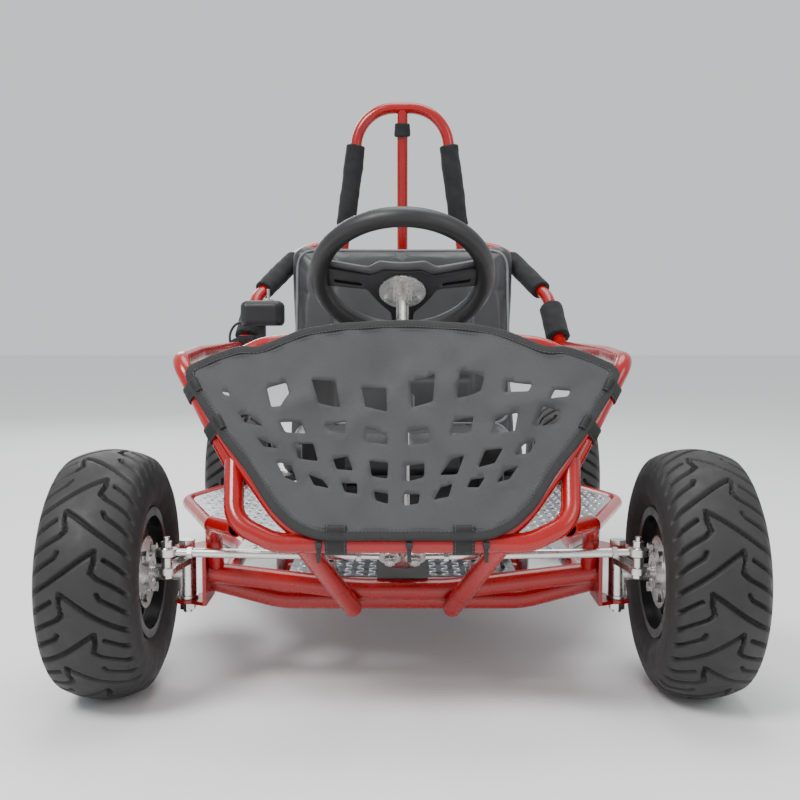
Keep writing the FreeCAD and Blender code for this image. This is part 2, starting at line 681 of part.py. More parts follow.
def rim(x0):
    """Pressed steel rim: two flanges, a drop centre and a disc near the inboard edge."""
    t = 2.5
    bead = RIM_HALF_W
    disc = -DISC_INSET
    outline = [(-bead - t, 87), (-bead, 87), (-bead, 78), (-34, 78), (-26, 66), (26, 66), (34, 78),
               (bead, 78), (bead, 87), (bead + t, 87), (bead + t, 78 - t), (35, 78 - t),
               (27, 66 - t), (-27, 66 - t), (disc + 6, 78 - t - 1), (disc + 2, 60), (disc + 2, HUB_SEAT),
               (disc - 2, HUB_SEAT), (disc - 2, 62), (disc, 78 - t), (-bead - t, 78 - t)]
    body = lathe_x(outline, x0)
    holes = around_x(pin(V(x0 + disc - 8, 0, BOLT_CIRCLE), V(x0 + disc + 8, 0, BOLT_CIRCLE), 4.0),
                     0, 0, 4, 45)
    slots = around_x(pin(V(x0 + disc - 8, 0, 52), V(x0 + disc + 8, 0, 52), 7.0), 0, 0, 4)
    return body.cut(Part.makeCompound(holes + slots))


def wheel_bolts(x0, length):
    """Four bolts through flange and disc, heads outboard."""
    seat = x0 - DISC_INSET + 2
    bolt = pin(V(seat - length, 0, BOLT_CIRCLE), V(seat, 0, BOLT_CIRCLE), 4.0)
    bolt = bolt.fuse(hexagon(V(seat, 0, BOLT_CIRCLE), V(seat + 6, 0, BOLT_CIRCLE), 13))
    bolt = bolt.fuse(hexagon(V(seat - length, 0, BOLT_CIRCLE),
                             V(seat - length + 6, 0, BOLT_CIRCLE), 13))
    return around_x(bolt, 0, 0, 4, 45)


def front_hub():
    """Hub, its two bearings and the wheel bolts, about an axle at the origin's height."""
    x0 = FRONT_HALF_TRACK
    face = x0 - DISC_INSET - 2
    bore = 17.5
    body = lathe_x([(-54, bore), (-54, 23), (face - x0 - 7, 23), (face - x0 - 7, 48), (face - x0, 48),
                    (face - x0, HUB_SEAT), (40, HUB_SEAT), (40, bore), (28, bore), (28, 13),
                    (-42, 13), (-42, bore)], x0)
    holes = around_x(pin(V(face - 9, 0, BOLT_CIRCLE), V(face + 2, 0, BOLT_CIRCLE), 4.0), 0, 0, 4, 45)
    body = body.cut(Part.makeCompound(holes))
    bearings = [bearing(x0 - 54, x0 - 42, bore, STUB_R + RUN),
                bearing(x0 + 28, x0 + 40, bore, STUB_R + RUN)]
    return [body] + bearings + wheel_bolts(x0, 18)


def bearing(x_start, x_end, r_out, r_in):
    """A sealed ball bearing: both races with a recessed seal between them."""
    length = x_end - x_start
    return lathe_x([(0, r_in), (0, r_in + 3), (1, r_in + 3), (1, r_out - 3), (0, r_out - 3),
                    (0, r_out), (length, r_out), (length, r_out - 3), (length - 1, r_out - 3),
                    (length - 1, r_in + 3), (length, r_in + 3), (length, r_in)], x_start)


def axle_nut():
    """Castle nut and washer on the end of the stub axle."""
    x = FRONT_HALF_TRACK + 40.3
    washer = ring(V(x, FRONT_Y, AXLE_Z), V(x + 1.5, FRONT_Y, AXLE_Z), 13, STUB_R)
    return washer.fuse(nut(V(x + 1.5, FRONT_Y, AXLE_Z), V(x + 10, FRONT_Y, AXLE_Z), 24, STUB_R))


def write_rear_axle():
    tyres = []
    rims = []
    hubs = []
    for side in (lambda shape: shape, flip):
        tyres.append(side(at_axle(tyre(REAR_HALF_TRACK), REAR_Y)))
        rims.append(side(at_axle(rim(REAR_HALF_TRACK), REAR_Y)))
        face = REAR_HALF_TRACK - DISC_INSET - 2
        hub = lathe_x([(-38, AXLE_R), (-38, 24), (-7, 24), (-7, 48), (0, 48), (0, HUB_SEAT),
                       (16, HUB_SEAT), (16, AXLE_R)], face)
        holes = around_x(pin(V(face - 9, 0, BOLT_CIRCLE), V(face + 2, 0, BOLT_CIRCLE), 4.0),
                         0, 0, 4, 45)
        hub = hub.cut(Part.makeCompound(holes))
        end = nut(V(face + 16, 0, 0), V(face + 30, 0, 0), 34, AXLE_R)
        hubs += [side(at_axle(piece, REAR_Y)) for piece in
                 [hub, end] + wheel_bolts(REAR_HALF_TRACK, 18)]
    write("rear_tyres", tyres)
    write("rear_rims", rims)
    write("rear_hubs", hubs)
    end = REAR_HALF_TRACK - DISC_INSET - 2 + 32
    write("rear_axle", pin(V(-end, REAR_Y, AXLE_Z), V(end, REAR_Y, AXLE_Z), AXLE_R))

    blocks = []
    for x in (-RAIL_X, RAIL_X):
        low = RAIL_Z + TUBE_R
        block = box(x - 14, x + 14, REAR_Y - 52, REAR_Y + 52, low, low + 9)
        block = block.fuse(pin(V(x - 14, REAR_Y, AXLE_Z), V(x + 14, REAR_Y, AXLE_Z), 31))
        under = box(x - 20, x + 20, REAR_Y - 60, REAR_Y + 60, AXLE_Z - 40, low)
        block = block.cut(under).cut(pin(V(x - 20, REAR_Y, AXLE_Z), V(x + 20, REAR_Y, AXLE_Z), 17.4))
        race = bearing(x - 9, x + 9, 17.4, AXLE_R + RUN)
        race.translate(V(0, REAR_Y, AXLE_Z))
        blocks += [largest(block), race]
        for y in (REAR_Y - 42, REAR_Y + 42):
            blocks.append(hexagon(V(x, y, low + 9), V(x, y, low + 14), 10))
    write("axle_bearings", blocks)


# ---------------------------------------------------------------- drive and brake
def sprocket(teeth, thick, x, y, z, bore, hub_r, hub_from, hub_to, windows):
    """A roller chain wheel with round tooth gaps, and its hub."""
    pitch_r = CHAIN_PITCH / (2 * sin(math.pi / teeth))
    tip = pitch_r + 2.6
    body = pin(V(x - thick / 2, 0, 0), V(x + thick / 2, 0, 0), tip)
    gap = pin(V(x - thick, 0, pitch_r), V(x + thick, 0, pitch_r), 2.5)
    body = body.cut(Part.makeCompound(around_x(gap, 0, 0, teeth)))
    body = body.fuse(pin(V(hub_from, 0, 0), V(hub_to, 0, 0), hub_r))
    if windows:
        hole = pin(V(x - thick, 0, 46), V(x + thick, 0, 46), 14)
        body = body.cut(Part.makeCompound(around_x(hole, 0, 0, windows)))
    body = body.cut(pin(V(hub_from - 1, 0, 0), V(hub_to + 1, 0, 0), bore))
    body.translate(V(0, y, z))
    return body, tip


def belt_outline(x, a, ra, b, rb):
    """Face at x around two circles in the YZ plane: centres a and b, radii ra and rb."""
    gap = b - a
    reach = gap.Length
    heading = math.atan2(gap.z, gap.y)
    lean = math.acos((ra - rb) / reach)

    def spot(centre, r, angle):
        return V(x, centre.y + r * cos(angle), centre.z + r * sin(angle))

    a1 = spot(a, ra, heading + lean)
    a2 = spot(a, ra, heading - lean)
    b1 = spot(b, rb, heading + lean)
    b2 = spot(b, rb, heading - lean)
    edges = [Part.Arc(a1, spot(a, ra, heading + math.pi), a2).toShape(),
             Part.LineSegment(a2, b2).toShape(),
             Part.Arc(b2, spot(b, rb, heading), b1).toShape(),
             Part.LineSegment(b1, a1).toShape()]
    return Part.Face(Part.Wire(edges))


def belt_loop(x0, x1, a, ra, b, rb, thick):
    outer = belt_outline(x0, a, ra + thick, b, rb + thick).extrude(V(x1 - x0, 0, 0))
    return outer.cut(belt_outline(x0, a, ra, b, rb).extrude(V(x1 - x0, 0, 0)))


def write_drive():
    axle = V(0, REAR_Y, AXLE_Z)
    shaft = V(0, MOTOR_Y, MOTOR_Z)
    wheel, tip = sprocket(TEETH_AXLE, 4.0, SPROCKET_X, REAR_Y, AXLE_Z, AXLE_R, 24,
                          SPROCKET_X - 16, SPROCKET_X + 4, 6)
    pinion, small_tip = sprocket(TEETH_MOTOR, 5.0, SPROCKET_X, MOTOR_Y, MOTOR_Z, 5.0, 9,
                                 SPROCKET_X - 6, SPROCKET_X + 8, 0)
    write("sprocket", wheel)
    shaft_piece = pin(V(SPROCKET_X - 8, MOTOR_Y, MOTOR_Z), V(-78, MOTOR_Y, MOTOR_Z), 5.0)
    write("motor_pinion", pinion, shaft_piece)
    gap = 0.5
    half = 4.5
    write("chain", belt_loop(SPROCKET_X - half, SPROCKET_X + half, axle, tip + gap, shaft,
                             small_tip + gap, 6.5))

    guard_x0 = SPROCKET_X - 20
    guard_x1 = SPROCKET_X + 10
    guard = belt_loop(guard_x0, guard_x1, axle, tip + 15, shaft, small_tip + 15, 1.6)
    cheek = belt_outline(guard_x0 - 1.6, axle, tip + 16.6, shaft, small_tip + 16.6)
    guard = guard.fuse(cheek.extrude(V(1.6, 0, 0)))
    guard = guard.cut(pin(V(-200, REAR_Y, AXLE_Z), V(0, REAR_Y, AXLE_Z), AXLE_R + 8))
    guard = guard.common(box(-150, -90, 250, 600, RAIL_Z + TUBE_R + 6, 400))
    write("chain_guard", guard.Solids)

    body = pin(V(-84, MOTOR_Y, MOTOR_Z), V(46, MOTOR_Y, MOTOR_Z), MOTOR_R)
    body = body.fuse(pin(V(46, MOTOR_Y, MOTOR_Z), V(58, MOTOR_Y, MOTOR_Z), MOTOR_R - 9))
    for x in (-70.0, 34.0):
        body = body.cut(ring(V(x, MOTOR_Y, MOTOR_Z), V(x + 3, MOTOR_Y, MOTOR_Z), 60, MOTOR_R - 1.5))
    body = body.fuse(box(-30, 10, MOTOR_Y - 22, MOTOR_Y + 22, MOTOR_Z + 40, MOTOR_Z + 58))
    body = body.cut(pin(V(-90, MOTOR_Y, MOTOR_Z), V(-76, MOTOR_Y, MOTOR_Z), 5.0 + RUN))
    write("motor", body)

    low = RAIL_Z + TUBE_R
    base = box(-92, RAIL_X + 8, 300, 372, low, low + 3)
    base = base.fuse(box(-RAIL_X - 8, -92, 300, 330, low, low + 3))
    saddle = box(-60, 40, 306, 366, low + 3, MOTOR_Z - 20)
    saddle = saddle.cut(box(-52, 32, 290, 380, low + 6, MOTOR_Z))
    saddle = saddle.cut(pin(V(-100, MOTOR_Y, MOTOR_Z), V(80, MOTOR_Y, MOTOR_Z), MOTOR_R))
    write("motor_mount", base.fuse(saddle))

    case = box(64, 150, 304, 368, low + 3, low + 36)
    for k in range(8):
        y = 308.0 + 7.4 * k
        case = case.fuse(box(66, 148, y, y + 3, low + 36, low + 45))
    write("controller", case)

    cover = Part.makeBox(236, 190, 70, V(-118, -104, PAN_TOP))
    cover = cover.makeFillet(6, [e for e in cover.Edges if abs(e.tangentAt(e.FirstParameter).z) > 0.9])
    lid = box(-121, 121, -107, 89, PAN_TOP + 70, PAN_TOP + 77)
    write("battery_box", cover, lid)

    disc = ring(V(DISC_X - 2, REAR_Y, AXLE_Z), V(DISC_X + 2, REAR_Y, AXLE_Z), 70, AXLE_R)
    holes = around_x(pin(V(DISC_X - 5, REAR_Y, AXLE_Z + 52), V(DISC_X + 5, REAR_Y, AXLE_Z + 52), 5),
                     REAR_Y, AXLE_Z, 12)
    disc = disc.cut(Part.makeCompound(holes))
    carrier = ring(V(DISC_X - 18, REAR_Y, AXLE_Z), V(DISC_X - 2, REAR_Y, AXLE_Z), 24, AXLE_R)
    write("brake_disc", disc.fuse(carrier))


def write_brake():
    """Caliper over the disc, with its lever, and the cable that pulls the lever."""
    y = REAR_Y - 56
    z = AXLE_Z + 34
    body = box(DISC_X - 20, DISC_X + 20, y - 22, y + 22, z - 24, z + 24)
    body = body.makeFillet(5, body.Edges)
    slot = box(DISC_X - 2.6, DISC_X + 2.6, y - 17, y + 40, z - 40, z + 40)
    body = body.cut(slot)
    arm = box(DISC_X + 6, DISC_X + 14, y - 34, y - 20, RAIL_Z + TUBE_R + 3, z)
    foot = box(DISC_X + 6, RAIL_X - 4, y - 34, y - 20, RAIL_Z + TUBE_R + 3, RAIL_Z + TUBE_R + 8)
    body = body.fuse(arm).fuse(foot)
    body = body.cut(pin(V(DISC_X + 12, y, z), V(DISC_X + 30, y, z), LEVER_PIN_R))
    write("brake_caliper", body)
    pivot = pin(V(DISC_X + 12.4, y, z), V(DISC_X + 34, y, z), LEVER_PIN_R - RUN)
    blade = plate([V(DISC_X + 26, y - 9, z - 8), V(DISC_X + 26, y + 9, z - 8),
                   V(DISC_X + 26, y + 5, z + 46), V(DISC_X + 26, y - 5, z + 46)], V(5, 0, 0))
    lever = pivot.fuse(blade).fuse(pin(V(DISC_X + 26, y, z + 46), V(DISC_X + 31, y, z + 46), 5))
    write("caliper_lever", lever)


# ---------------------------------------------------------------- pedals and controls
def write_pedals():
    brackets = []
    for name, x in (("throttle_pedal", -PEDAL_X), ("brake_pedal", PEDAL_X)):
        hub = ring(V(x - 15, PEDAL_Y, PEDAL_Z), V(x + 15, PEDAL_Y, PEDAL_Z), 9, 4 + RUN)
        arm = box(x - 5, x + 5, PEDAL_Y - 8, PEDAL_Y + 8, PEDAL_Z + 6, PEDAL_Z + PEDAL_REACH - 10)
        pad = Part.makeBox(64, 9, 92, V(x - 32, PEDAL_Y + 8, PEDAL_Z + PEDAL_REACH - 92))
        pad = pad.makeFillet(3, pad.Edges)
        ribs = [box(x - 27, x + 27, PEDAL_Y + 17, PEDAL_Y + 19.5, z, z + 6)
                for z in (PEDAL_Z + PEDAL_REACH - 84 + 15 * k for k in range(6))]
        pedal = hub.fuse([arm.cut(pin(V(x - 20, PEDAL_Y, PEDAL_Z), V(x + 20, PEDAL_Y, PEDAL_Z), 8)),
                          pad] + ribs)
        pedal.rotate(V(x, PEDAL_Y, PEDAL_Z), AXIS_X, -7)
        write(name, pedal)
        foot = box(x - 22, x + 22, PEDAL_Y - 18, PEDAL_Y + 18, PAN_TOP, PAN_TOP + 3)
        for ear_x in (x - 19, x + 16):
            foot = foot.fuse(box(ear_x, ear_x + 3, PEDAL_Y - 10, PEDAL_Y + 10, PAN_TOP, PEDAL_Z + 10))
        hinge = pin(V(x - 22, PEDAL_Y, PEDAL_Z), V(x + 22, PEDAL_Y, PEDAL_Z), 4.0)
        hinge = hinge.fuse(pin(V(x + 22, PEDAL_Y, PEDAL_Z), V(x + 25, PEDAL_Y, PEDAL_Z), 6.5))
        foot = foot.cut(hinge)
        brackets += [foot, hinge]
    write("pedal_brackets", brackets)


def write_brake_cable():
    """Cable housing from the brake pedal along the rail to the caliper lever."""
    channel_x = RAIL_X - 3
    lever_y = REAR_Y - 56
    lever_z = AXLE_Z + 34 + 46
    x = DISC_X + 28.5
    route = [V(141, -400, 157), V(141, -352, 157), V(channel_x, -280, 153.5),
             V(channel_x, 262, 153.5), V(channel_x - 2, 318, 176), V(x + 2, 350, lever_z - 8),
             V(x, lever_y - 22, lever_z)]
    path = rod(route, [60, 90, 60, 34, 30], CABLE_R)
    collar = pin(V(x, lever_y - 22, lever_z), V(x, lever_y - 15, lever_z), 4.5)
    write("brake_cable", path.fuse(collar))


def write_pod():
    """Control pod on the driver's right rail, with its clamp, key and wire."""
    centre = V(-243, -14, 505)
    shell = box(centre.x - 36, centre.x + 36, centre.y - 30, centre.y + 30, centre.z - 14, centre.z + 32)
    shell = shell.makeFillet(12, shell.Edges)
    shell = shell.cut(box(centre.x - 31, centre.x + 31, centre.y - 25, centre.y + 25,
                          centre.z - 20, centre.z + 4))
    boss = pin(centre + V(10, 0, 0), centre + V(10, 0, 27), 13)
    shell = shell.fuse(boss)
    shell = shell.cut(pin(centre + V(10, 0, 8), centre + V(10, 0, 40), KEY_R + RUN))
    rail = V(-284.6, centre.y, RAIL_TOP_Z)
    clamp = ring(rail - AXIS_Y * 11, rail + AXIS_Y * 11, 18, SMALL_R + 0.35)
    front = centre.y - 11
    back = centre.y + 11
    neck = box(-284, centre.x + 4, front, back, RAIL_TOP_Z + 14, RAIL_TOP_Z + 22)
    neck = neck.fuse(box(centre.x - 8, centre.x + 4, front, back, RAIL_TOP_Z + 14, centre.z + 8))
    clamp = clamp.fuse(neck.cut(pin(rail - AXIS_Y * 30, rail + AXIS_Y * 30, 17)))
    clamp = clamp.cut(shell)
    bolt = pin(V(-262, front - 5, RAIL_TOP_Z + 18), V(-262, front, RAIL_TOP_Z + 18), 5)
    write("control_pod", shell, largest(clamp), bolt)
    key = pin(centre + V(10, 0, 9), centre + V(10, 0, 34), KEY_R)
    bow = box(centre.x + 8.5, centre.x + 11.5, centre.y - 9, centre.y + 9, centre.z + 34, centre.z + 52)
    write("key_switch", key.fuse(bow))
    start = V(centre.x - 36.2, 4, 500)
    route = [start, V(-292, 4, 500), V(-307, 10, 478), V(-306, 34, 452), V(-296.5, 72, 452)]
    write("pod_wire", rod(route, [8, 10, 12], 2.2))


def main():
    os.makedirs("parts", exist_ok=True)
    frame = make_frame()
    write_frame(frame)
    write_floor(frame)
    write_seat()
    write_foam(frame)
    write_shield()
    write_ties(frame)
    write_steering_wheel()
    write_steering_column()
    write_column_supports(frame)
    write_front_corners()
    write_rear_axle()
    write_drive()
    write_brake()
    write_pedals()
    write_brake_cable()
    write_pod()


main()
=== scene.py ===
"""Looks of a youth off-road kart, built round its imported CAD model. Metres, in the row frame."""

import json
import math

import bmesh
import bpy
import numpy as np
from mathutils import Matrix, Vector
from mathutils.bvhtree import BVHTree
from mathutils.geometry import delaunay_2d_cdt


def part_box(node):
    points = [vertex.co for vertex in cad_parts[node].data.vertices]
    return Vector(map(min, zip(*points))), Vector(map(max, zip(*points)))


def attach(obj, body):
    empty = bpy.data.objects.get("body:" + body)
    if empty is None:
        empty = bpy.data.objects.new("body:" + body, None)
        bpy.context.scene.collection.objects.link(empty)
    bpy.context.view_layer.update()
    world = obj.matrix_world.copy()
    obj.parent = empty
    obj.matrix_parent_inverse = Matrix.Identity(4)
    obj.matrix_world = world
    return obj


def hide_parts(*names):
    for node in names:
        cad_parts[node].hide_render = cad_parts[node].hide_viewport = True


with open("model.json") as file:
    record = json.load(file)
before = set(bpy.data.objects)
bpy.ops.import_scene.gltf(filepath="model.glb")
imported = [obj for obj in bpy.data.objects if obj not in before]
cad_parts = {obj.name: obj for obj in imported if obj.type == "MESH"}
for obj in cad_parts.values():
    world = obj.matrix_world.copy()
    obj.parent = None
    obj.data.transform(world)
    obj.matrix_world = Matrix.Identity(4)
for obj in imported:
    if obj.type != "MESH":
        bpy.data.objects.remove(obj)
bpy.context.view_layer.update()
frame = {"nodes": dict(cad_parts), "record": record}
NODES = frame["nodes"]
MM = 0.001


# ---------------------------------------------------------------- finishes
class Look:
    """A procedural finish: a Principled shader with its colour, roughness and bump from noise."""

    def __init__(self, name, colour, rough, metal=0.0, coat=0.0, coat_rough=0.08, sheen=0.0):
        self.material = bpy.data.materials.new(name)
        self.material.use_nodes = True
        self.tree = self.material.node_tree
        self.shader = self.tree.nodes["Principled BSDF"]
        self.set("Base Color", (*colour, 1.0))
        self.set("Roughness", rough)
        self.set("Metallic", metal)
        self.set("Coat Weight", coat)
        self.set("Coat Roughness", coat_rough)
        self.set("Sheen Weight", sheen)
        self.coords = self.node("TexCoord").outputs["Object"]
        self.normal = None

    def set(self, key, value):
        if isinstance(value, bpy.types.NodeSocket):
            self.tree.links.new(value, self.shader.inputs[key])
        else:
            self.shader.inputs[key].default_value = value

    def node(self, kind, inputs=None, **settings):
        made = self.tree.nodes.new("ShaderNode" + kind)
        for key, value in settings.items():
            setattr(made, key, value)
        for key, value in (inputs or {}).items():
            if isinstance(value, bpy.types.NodeSocket):
                self.tree.links.new(value, made.inputs[key])
            else:
                made.inputs[key].default_value = value
        return made

    def stretched(self, scale):
        """Coordinates drawn out along an axis, for drawing lines and slubs."""
        return self.node("Mapping", {"Vector": self.coords, "Scale": scale}).outputs["Vector"]

    def noise(self, scale, detail=3.0, rough=0.55, at=None):
        at = self.coords if at is None else at
        made = self.node("TexNoise", {"Vector": at, "Scale": scale, "Detail": detail,
                                      "Roughness": rough})
        return made.outputs["Fac"]

    def cells(self, scale, kind="F1"):
        made = self.node("TexVoronoi", {"Vector": self.coords, "Scale": scale}, feature=kind)
        return made.outputs["Distance"]

    def bands(self, scale, axis, distortion):
        made = self.node("TexWave", {"Vector": self.coords, "Scale": scale, "Distortion": distortion},
                         bands_direction=axis)
        return made.outputs["Fac"]

    def spread(self, value, low, high, start=0.3, end=0.7):
        made = self.node("MapRange", {"Value": value, "From Min": start, "From Max": end,
                                      "To Min": low, "To Max": high})
        return made.outputs["Result"]

    def maths(self, how, a, b):
        made = self.node("Math", operation=how)
        for socket, value in zip(made.inputs, (a, b)):
            if isinstance(value, bpy.types.NodeSocket):
                self.tree.links.new(value, socket)
            else:
                socket.default_value = value
        return made.outputs[0]

    def ramp(self, value, *stops):
        made = self.node("ValToRGB", {"Fac": value})
        elements = made.color_ramp.elements
        elements[0].position, elements[0].color = stops[0][0], (*stops[0][1], 1)
        elements[1].position, elements[1].color = stops[-1][0], (*stops[-1][1], 1)
        for place, colour in stops[1:-1]:
            elements.new(place).color = (*colour, 1)
        return made.outputs["Color"]

    def mix(self, factor, a, b):
        made = self.node("Mix", data_type="RGBA")
        for index, value in ((0, factor), (6, a), (7, b)):
            if isinstance(value, bpy.types.NodeSocket):
                self.tree.links.new(value, made.inputs[index])
            else:
                made.inputs[index].default_value = value if index == 0 else (*value, 1)
        return made.outputs[2]

    def bump(self, height, distance, strength=1.0):
        inputs = {"Height": height, "Distance": distance, "Strength": strength}
        if self.normal is not None:
            inputs["Normal"] = self.normal
        self.normal = self.node("Bump", inputs).outputs["Normal"]
        self.set("Normal", self.normal)

    def rounded(self, radius):
        """Catches light on the edges as a small radius does. Returns how far a spot is on an edge."""
        bevel = self.node("Bevel", {"Radius": radius}, samples=4).outputs["Normal"]
        flat = self.node("NewGeometry").outputs["Normal"]
        dot = self.node("VectorMath", operation="DOT_PRODUCT")
        self.tree.links.new(bevel, dot.inputs[0])
        self.tree.links.new(flat, dot.inputs[1])
        self.normal = bevel
        self.set("Normal", bevel)
        return self.spread(dot.outputs["Value"], 1.0, 0.0, 0.78, 0.985)


def scaled(colour, factor):
    return tuple(min(1.0, c * factor) for c in colour)


def paint(name, colour, rough, coat, worn):
    """Powder coat: a little uneven, with orange peel, and rubbed through to primer on its edges."""
    look = Look(name, colour, rough, coat=coat, coat_rough=0.07)
    edge = look.rounded(0.0009)
    cloud = look.ramp(look.noise(9, 4), (0.3, scaled(colour, 0.86)), (0.7, scaled(colour, 1.08)))
    scuff = look.spread(look.noise(85, 6, 0.7), 0.0, 1.0, 0.56, 0.66)
    rubbed = look.maths("MULTIPLY", edge, scuff)
    look.set("Base Color", look.mix(look.maths("MULTIPLY", rubbed, 0.55), cloud, worn))
    look.set("Roughness", look.spread(look.noise(40, 5, 0.65), rough * 0.8, rough * 1.5))
    look.bump(look.noise(310, 2), 0.0001)
    look.bump(look.noise(36, 2), 0.0001, 0.4)
    return look.material


def plated(name, colour, rough, blotch=34):
    """Zinc plate or bare metal: faint spangle, fine drawing lines and dulled hollows."""
    look = Look(name, colour, rough, metal=1.0)
    look.rounded(0.0006)
    mottle = look.ramp(look.noise(blotch, 5, 0.6), (0.3, scaled(colour, 0.86)), (0.7, scaled(colour, 1.06)))
    look.set("Base Color", mottle)
    look.set("Roughness", look.spread(look.noise(blotch * 3, 4, 0.6), rough * 0.8, rough * 1.35))
    look.bump(look.noise(60, 3, 0.7, look.stretched((1, 1, 22))), 0.00006, 0.6)
    look.bump(look.noise(900, 2), 0.00003, 0.6)
    return look.material


def rubber(name, colour, rough):
    """Tyre and grip rubber: matt, faintly dusty, with a fine moulded skin."""
    look = Look(name, colour, rough)
    dust = look.ramp(look.noise(16, 6, 0.65), (0.32, scaled(colour, 0.8)), (0.62, colour),
                     (0.8, scaled(colour, 1.55)))
    look.set("Base Color", dust)
    look.set("Roughness", look.spread(look.noise(48, 5), rough * 0.86, min(rough * 1.16, 1.0)))
    look.bump(look.noise(1500, 3, 0.7), 0.00012, 0.8)
    look.bump(look.noise(210, 4, 0.6), 0.00018, 0.6)
    return look.material


def vinyl(name, colour, rough, grain=520.0):
    """Upholstery vinyl: leather grain in two sizes, polished where it is rubbed."""
    look = Look(name, colour, rough, sheen=0.08)
    pebble = look.cells(grain, "SMOOTH_F1")
    fine = look.cells(grain * 2.3)
    cloud = look.ramp(look.noise(11, 5), (0.3, scaled(colour, 0.84)), (0.7, scaled(colour, 1.15)))
    look.set("Base Color", look.mix(look.spread(pebble, 0.0, 0.5, 0.3, 0.8), cloud, scaled(colour, 0.62)))
    look.set("Roughness", look.spread(look.noise(23, 4), rough * 0.82, rough * 1.25))
    look.bump(pebble, 0.00035, -0.8)
    look.bump(fine, 0.00012, -0.7)
    return look.material


def woven(name, colour, rough, pitch, sheen=0.25):
    """Plain weave: two sets of ribs across each other, pitch apart, with slubs and uneven colour."""
    look = Look(name, colour, rough, sheen=sheen)
    over = look.bands(0.314 / pitch, "X", 0.35)
    under = look.bands(0.314 / pitch, "Z", 0.35)
    cloth = look.maths("MAXIMUM", over, under)
    slub = look.noise(0.2 / pitch, 4, 0.7, look.stretched((1, 1, 6)))
    cloud = look.ramp(look.noise(6.5, 5, 0.6), (0.3, scaled(colour, 0.88)), (0.7, scaled(colour, 1.12)))
    look.set("Base Color", look.mix(look.spread(cloth, 0.45, 0.0, 0.3, 0.9), cloud, scaled(colour, 0.6)))
    look.set("Roughness", look.spread(slub, rough * 0.85, min(rough * 1.2, 1.0)))
    look.bump(cloth, 0.0003, 0.8)
    look.bump(slub, 0.00036, 0.6)
    look.bump(look.noise(28, 4), 0.0009, 0.55)
    return look.material


def foam_skin(name, colour):
    """Closed-cell foam: a dull skin with pin holes and long soft dents."""
    look = Look(name, colour, 0.82, sheen=0.05)
    look.set("Specular IOR Level", 0.3)
    cells = look.cells(1150)
    cloud = look.ramp(look.noise(13, 6, 0.65), (0.3, scaled(colour, 0.78)), (0.72, scaled(colour, 1.3)))
    look.set("Base Color", look.mix(look.spread(cells, 0.6, 0.0, 0.05, 0.35), cloud, scaled(colour, 0.45)))
    look.set("Roughness", look.spread(look.noise(70, 4), 0.72, 0.95))
    look.bump(cells, 0.00035, 0.9)
    look.bump(look.noise(55, 4, 0.6), 0.0009, 0.5)
    return look.material


def moulded(name, colour, rough):
    """Moulded plastic with a spark-eroded texture and lightly scuffed edges."""
    look = Look(name, colour, rough)
    edge = look.rounded(0.0012)
    cloud = look.ramp(look.noise(15, 5), (0.3, scaled(colour, 0.85)), (0.7, scaled(colour, 1.2)))
    scuff = look.maths("MULTIPLY", edge, look.spread(look.noise(120, 5, 0.7), 0.0, 0.5, 0.5, 0.66))
    look.set("Base Color", look.mix(scuff, cloud, scaled(colour, 3.2)))
    look.set("Roughness", look.spread(look.noise(37, 5), rough * 0.82, min(1.0, rough * 1.25)))
    look.bump(look.noise(1300, 3, 0.7), 0.00016, 0.8)
    return look.material


RED = (0.33, 0.0012, 0.0011)
LOOKS = {
    "red_paint": paint("red_powder_coat", RED, 0.22, 0.25, (0.22, 0.015, 0.012)),
    "black_paint": paint("black_powder_coat", (0.010, 0.010, 0.011), 0.32, 0.3, (0.09, 0.09, 0.09)),
    "diamond_plate": plated("tread_plate", (0.58, 0.60, 0.62), 0.3, 22),
    "zinc_steel": plated("zinc_plate", (0.70, 0.69, 0.665), 0.27),
    "motor_alloy": plated("cast_alloy", (0.34, 0.34, 0.35), 0.46, 60),
    "tyre_rubber": rubber("tyre_rubber", (0.0185, 0.0178, 0.0175), 0.6),
    "grip_rubber": rubber("wheel_foam_grip", (0.020, 0.020, 0.021), 0.42),
    "seat_vinyl": vinyl("seat_vinyl", (0.026, 0.0265, 0.028), 0.44),
    "shield_cloth": woven("coated_cloth", (0.050, 0.050, 0.052), 0.6, 0.0009, sheen=0.05),
    "webbing": woven("nylon_webbing", (0.005, 0.005, 0.0055), 0.6, 0.0016, sheen=0.03),
    "foam_black": foam_skin("foam_sleeve", (0.016, 0.0162, 0.0172)),
    "black_plastic": moulded("black_plastic", (0.013, 0.013, 0.0145), 0.4),
}
# Painted highlight: the welt is real, but its pale grey, far lighter than the seat vinyl, stands for the
# highlight along the cushions' edges.
PIPING_PAINTED_HIGHLIGHT = vinyl("piping_painted_highlight", (0.16, 0.165, 0.175), 0.42, 900)
BINDING = woven("edge_binding", (0.009, 0.009, 0.0095), 0.55, 0.0007, sheen=0.03)
THREAD = woven("thread", (0.085, 0.086, 0.092), 0.6, 0.0004)
# Painted highlight: a pale grey copy of the black plastic, standing for the lit top edge of the wheel's
# centre plate.
PAINTED_HIGHLIGHT_PLASTIC = moulded("wheel_cover", (0.10, 0.10, 0.105), 0.4)
# Painted shade: a darker copy of the tyre rubber, put on the floors of the tread grooves where shade falls.
GROOVE_PAINTED_SHADE = rubber("tread_groove_painted_shade", (0.0045, 0.0044, 0.0043), 0.8)


def dress(obj, look):
    obj.data.materials.clear()
    obj.data.materials.append(look)


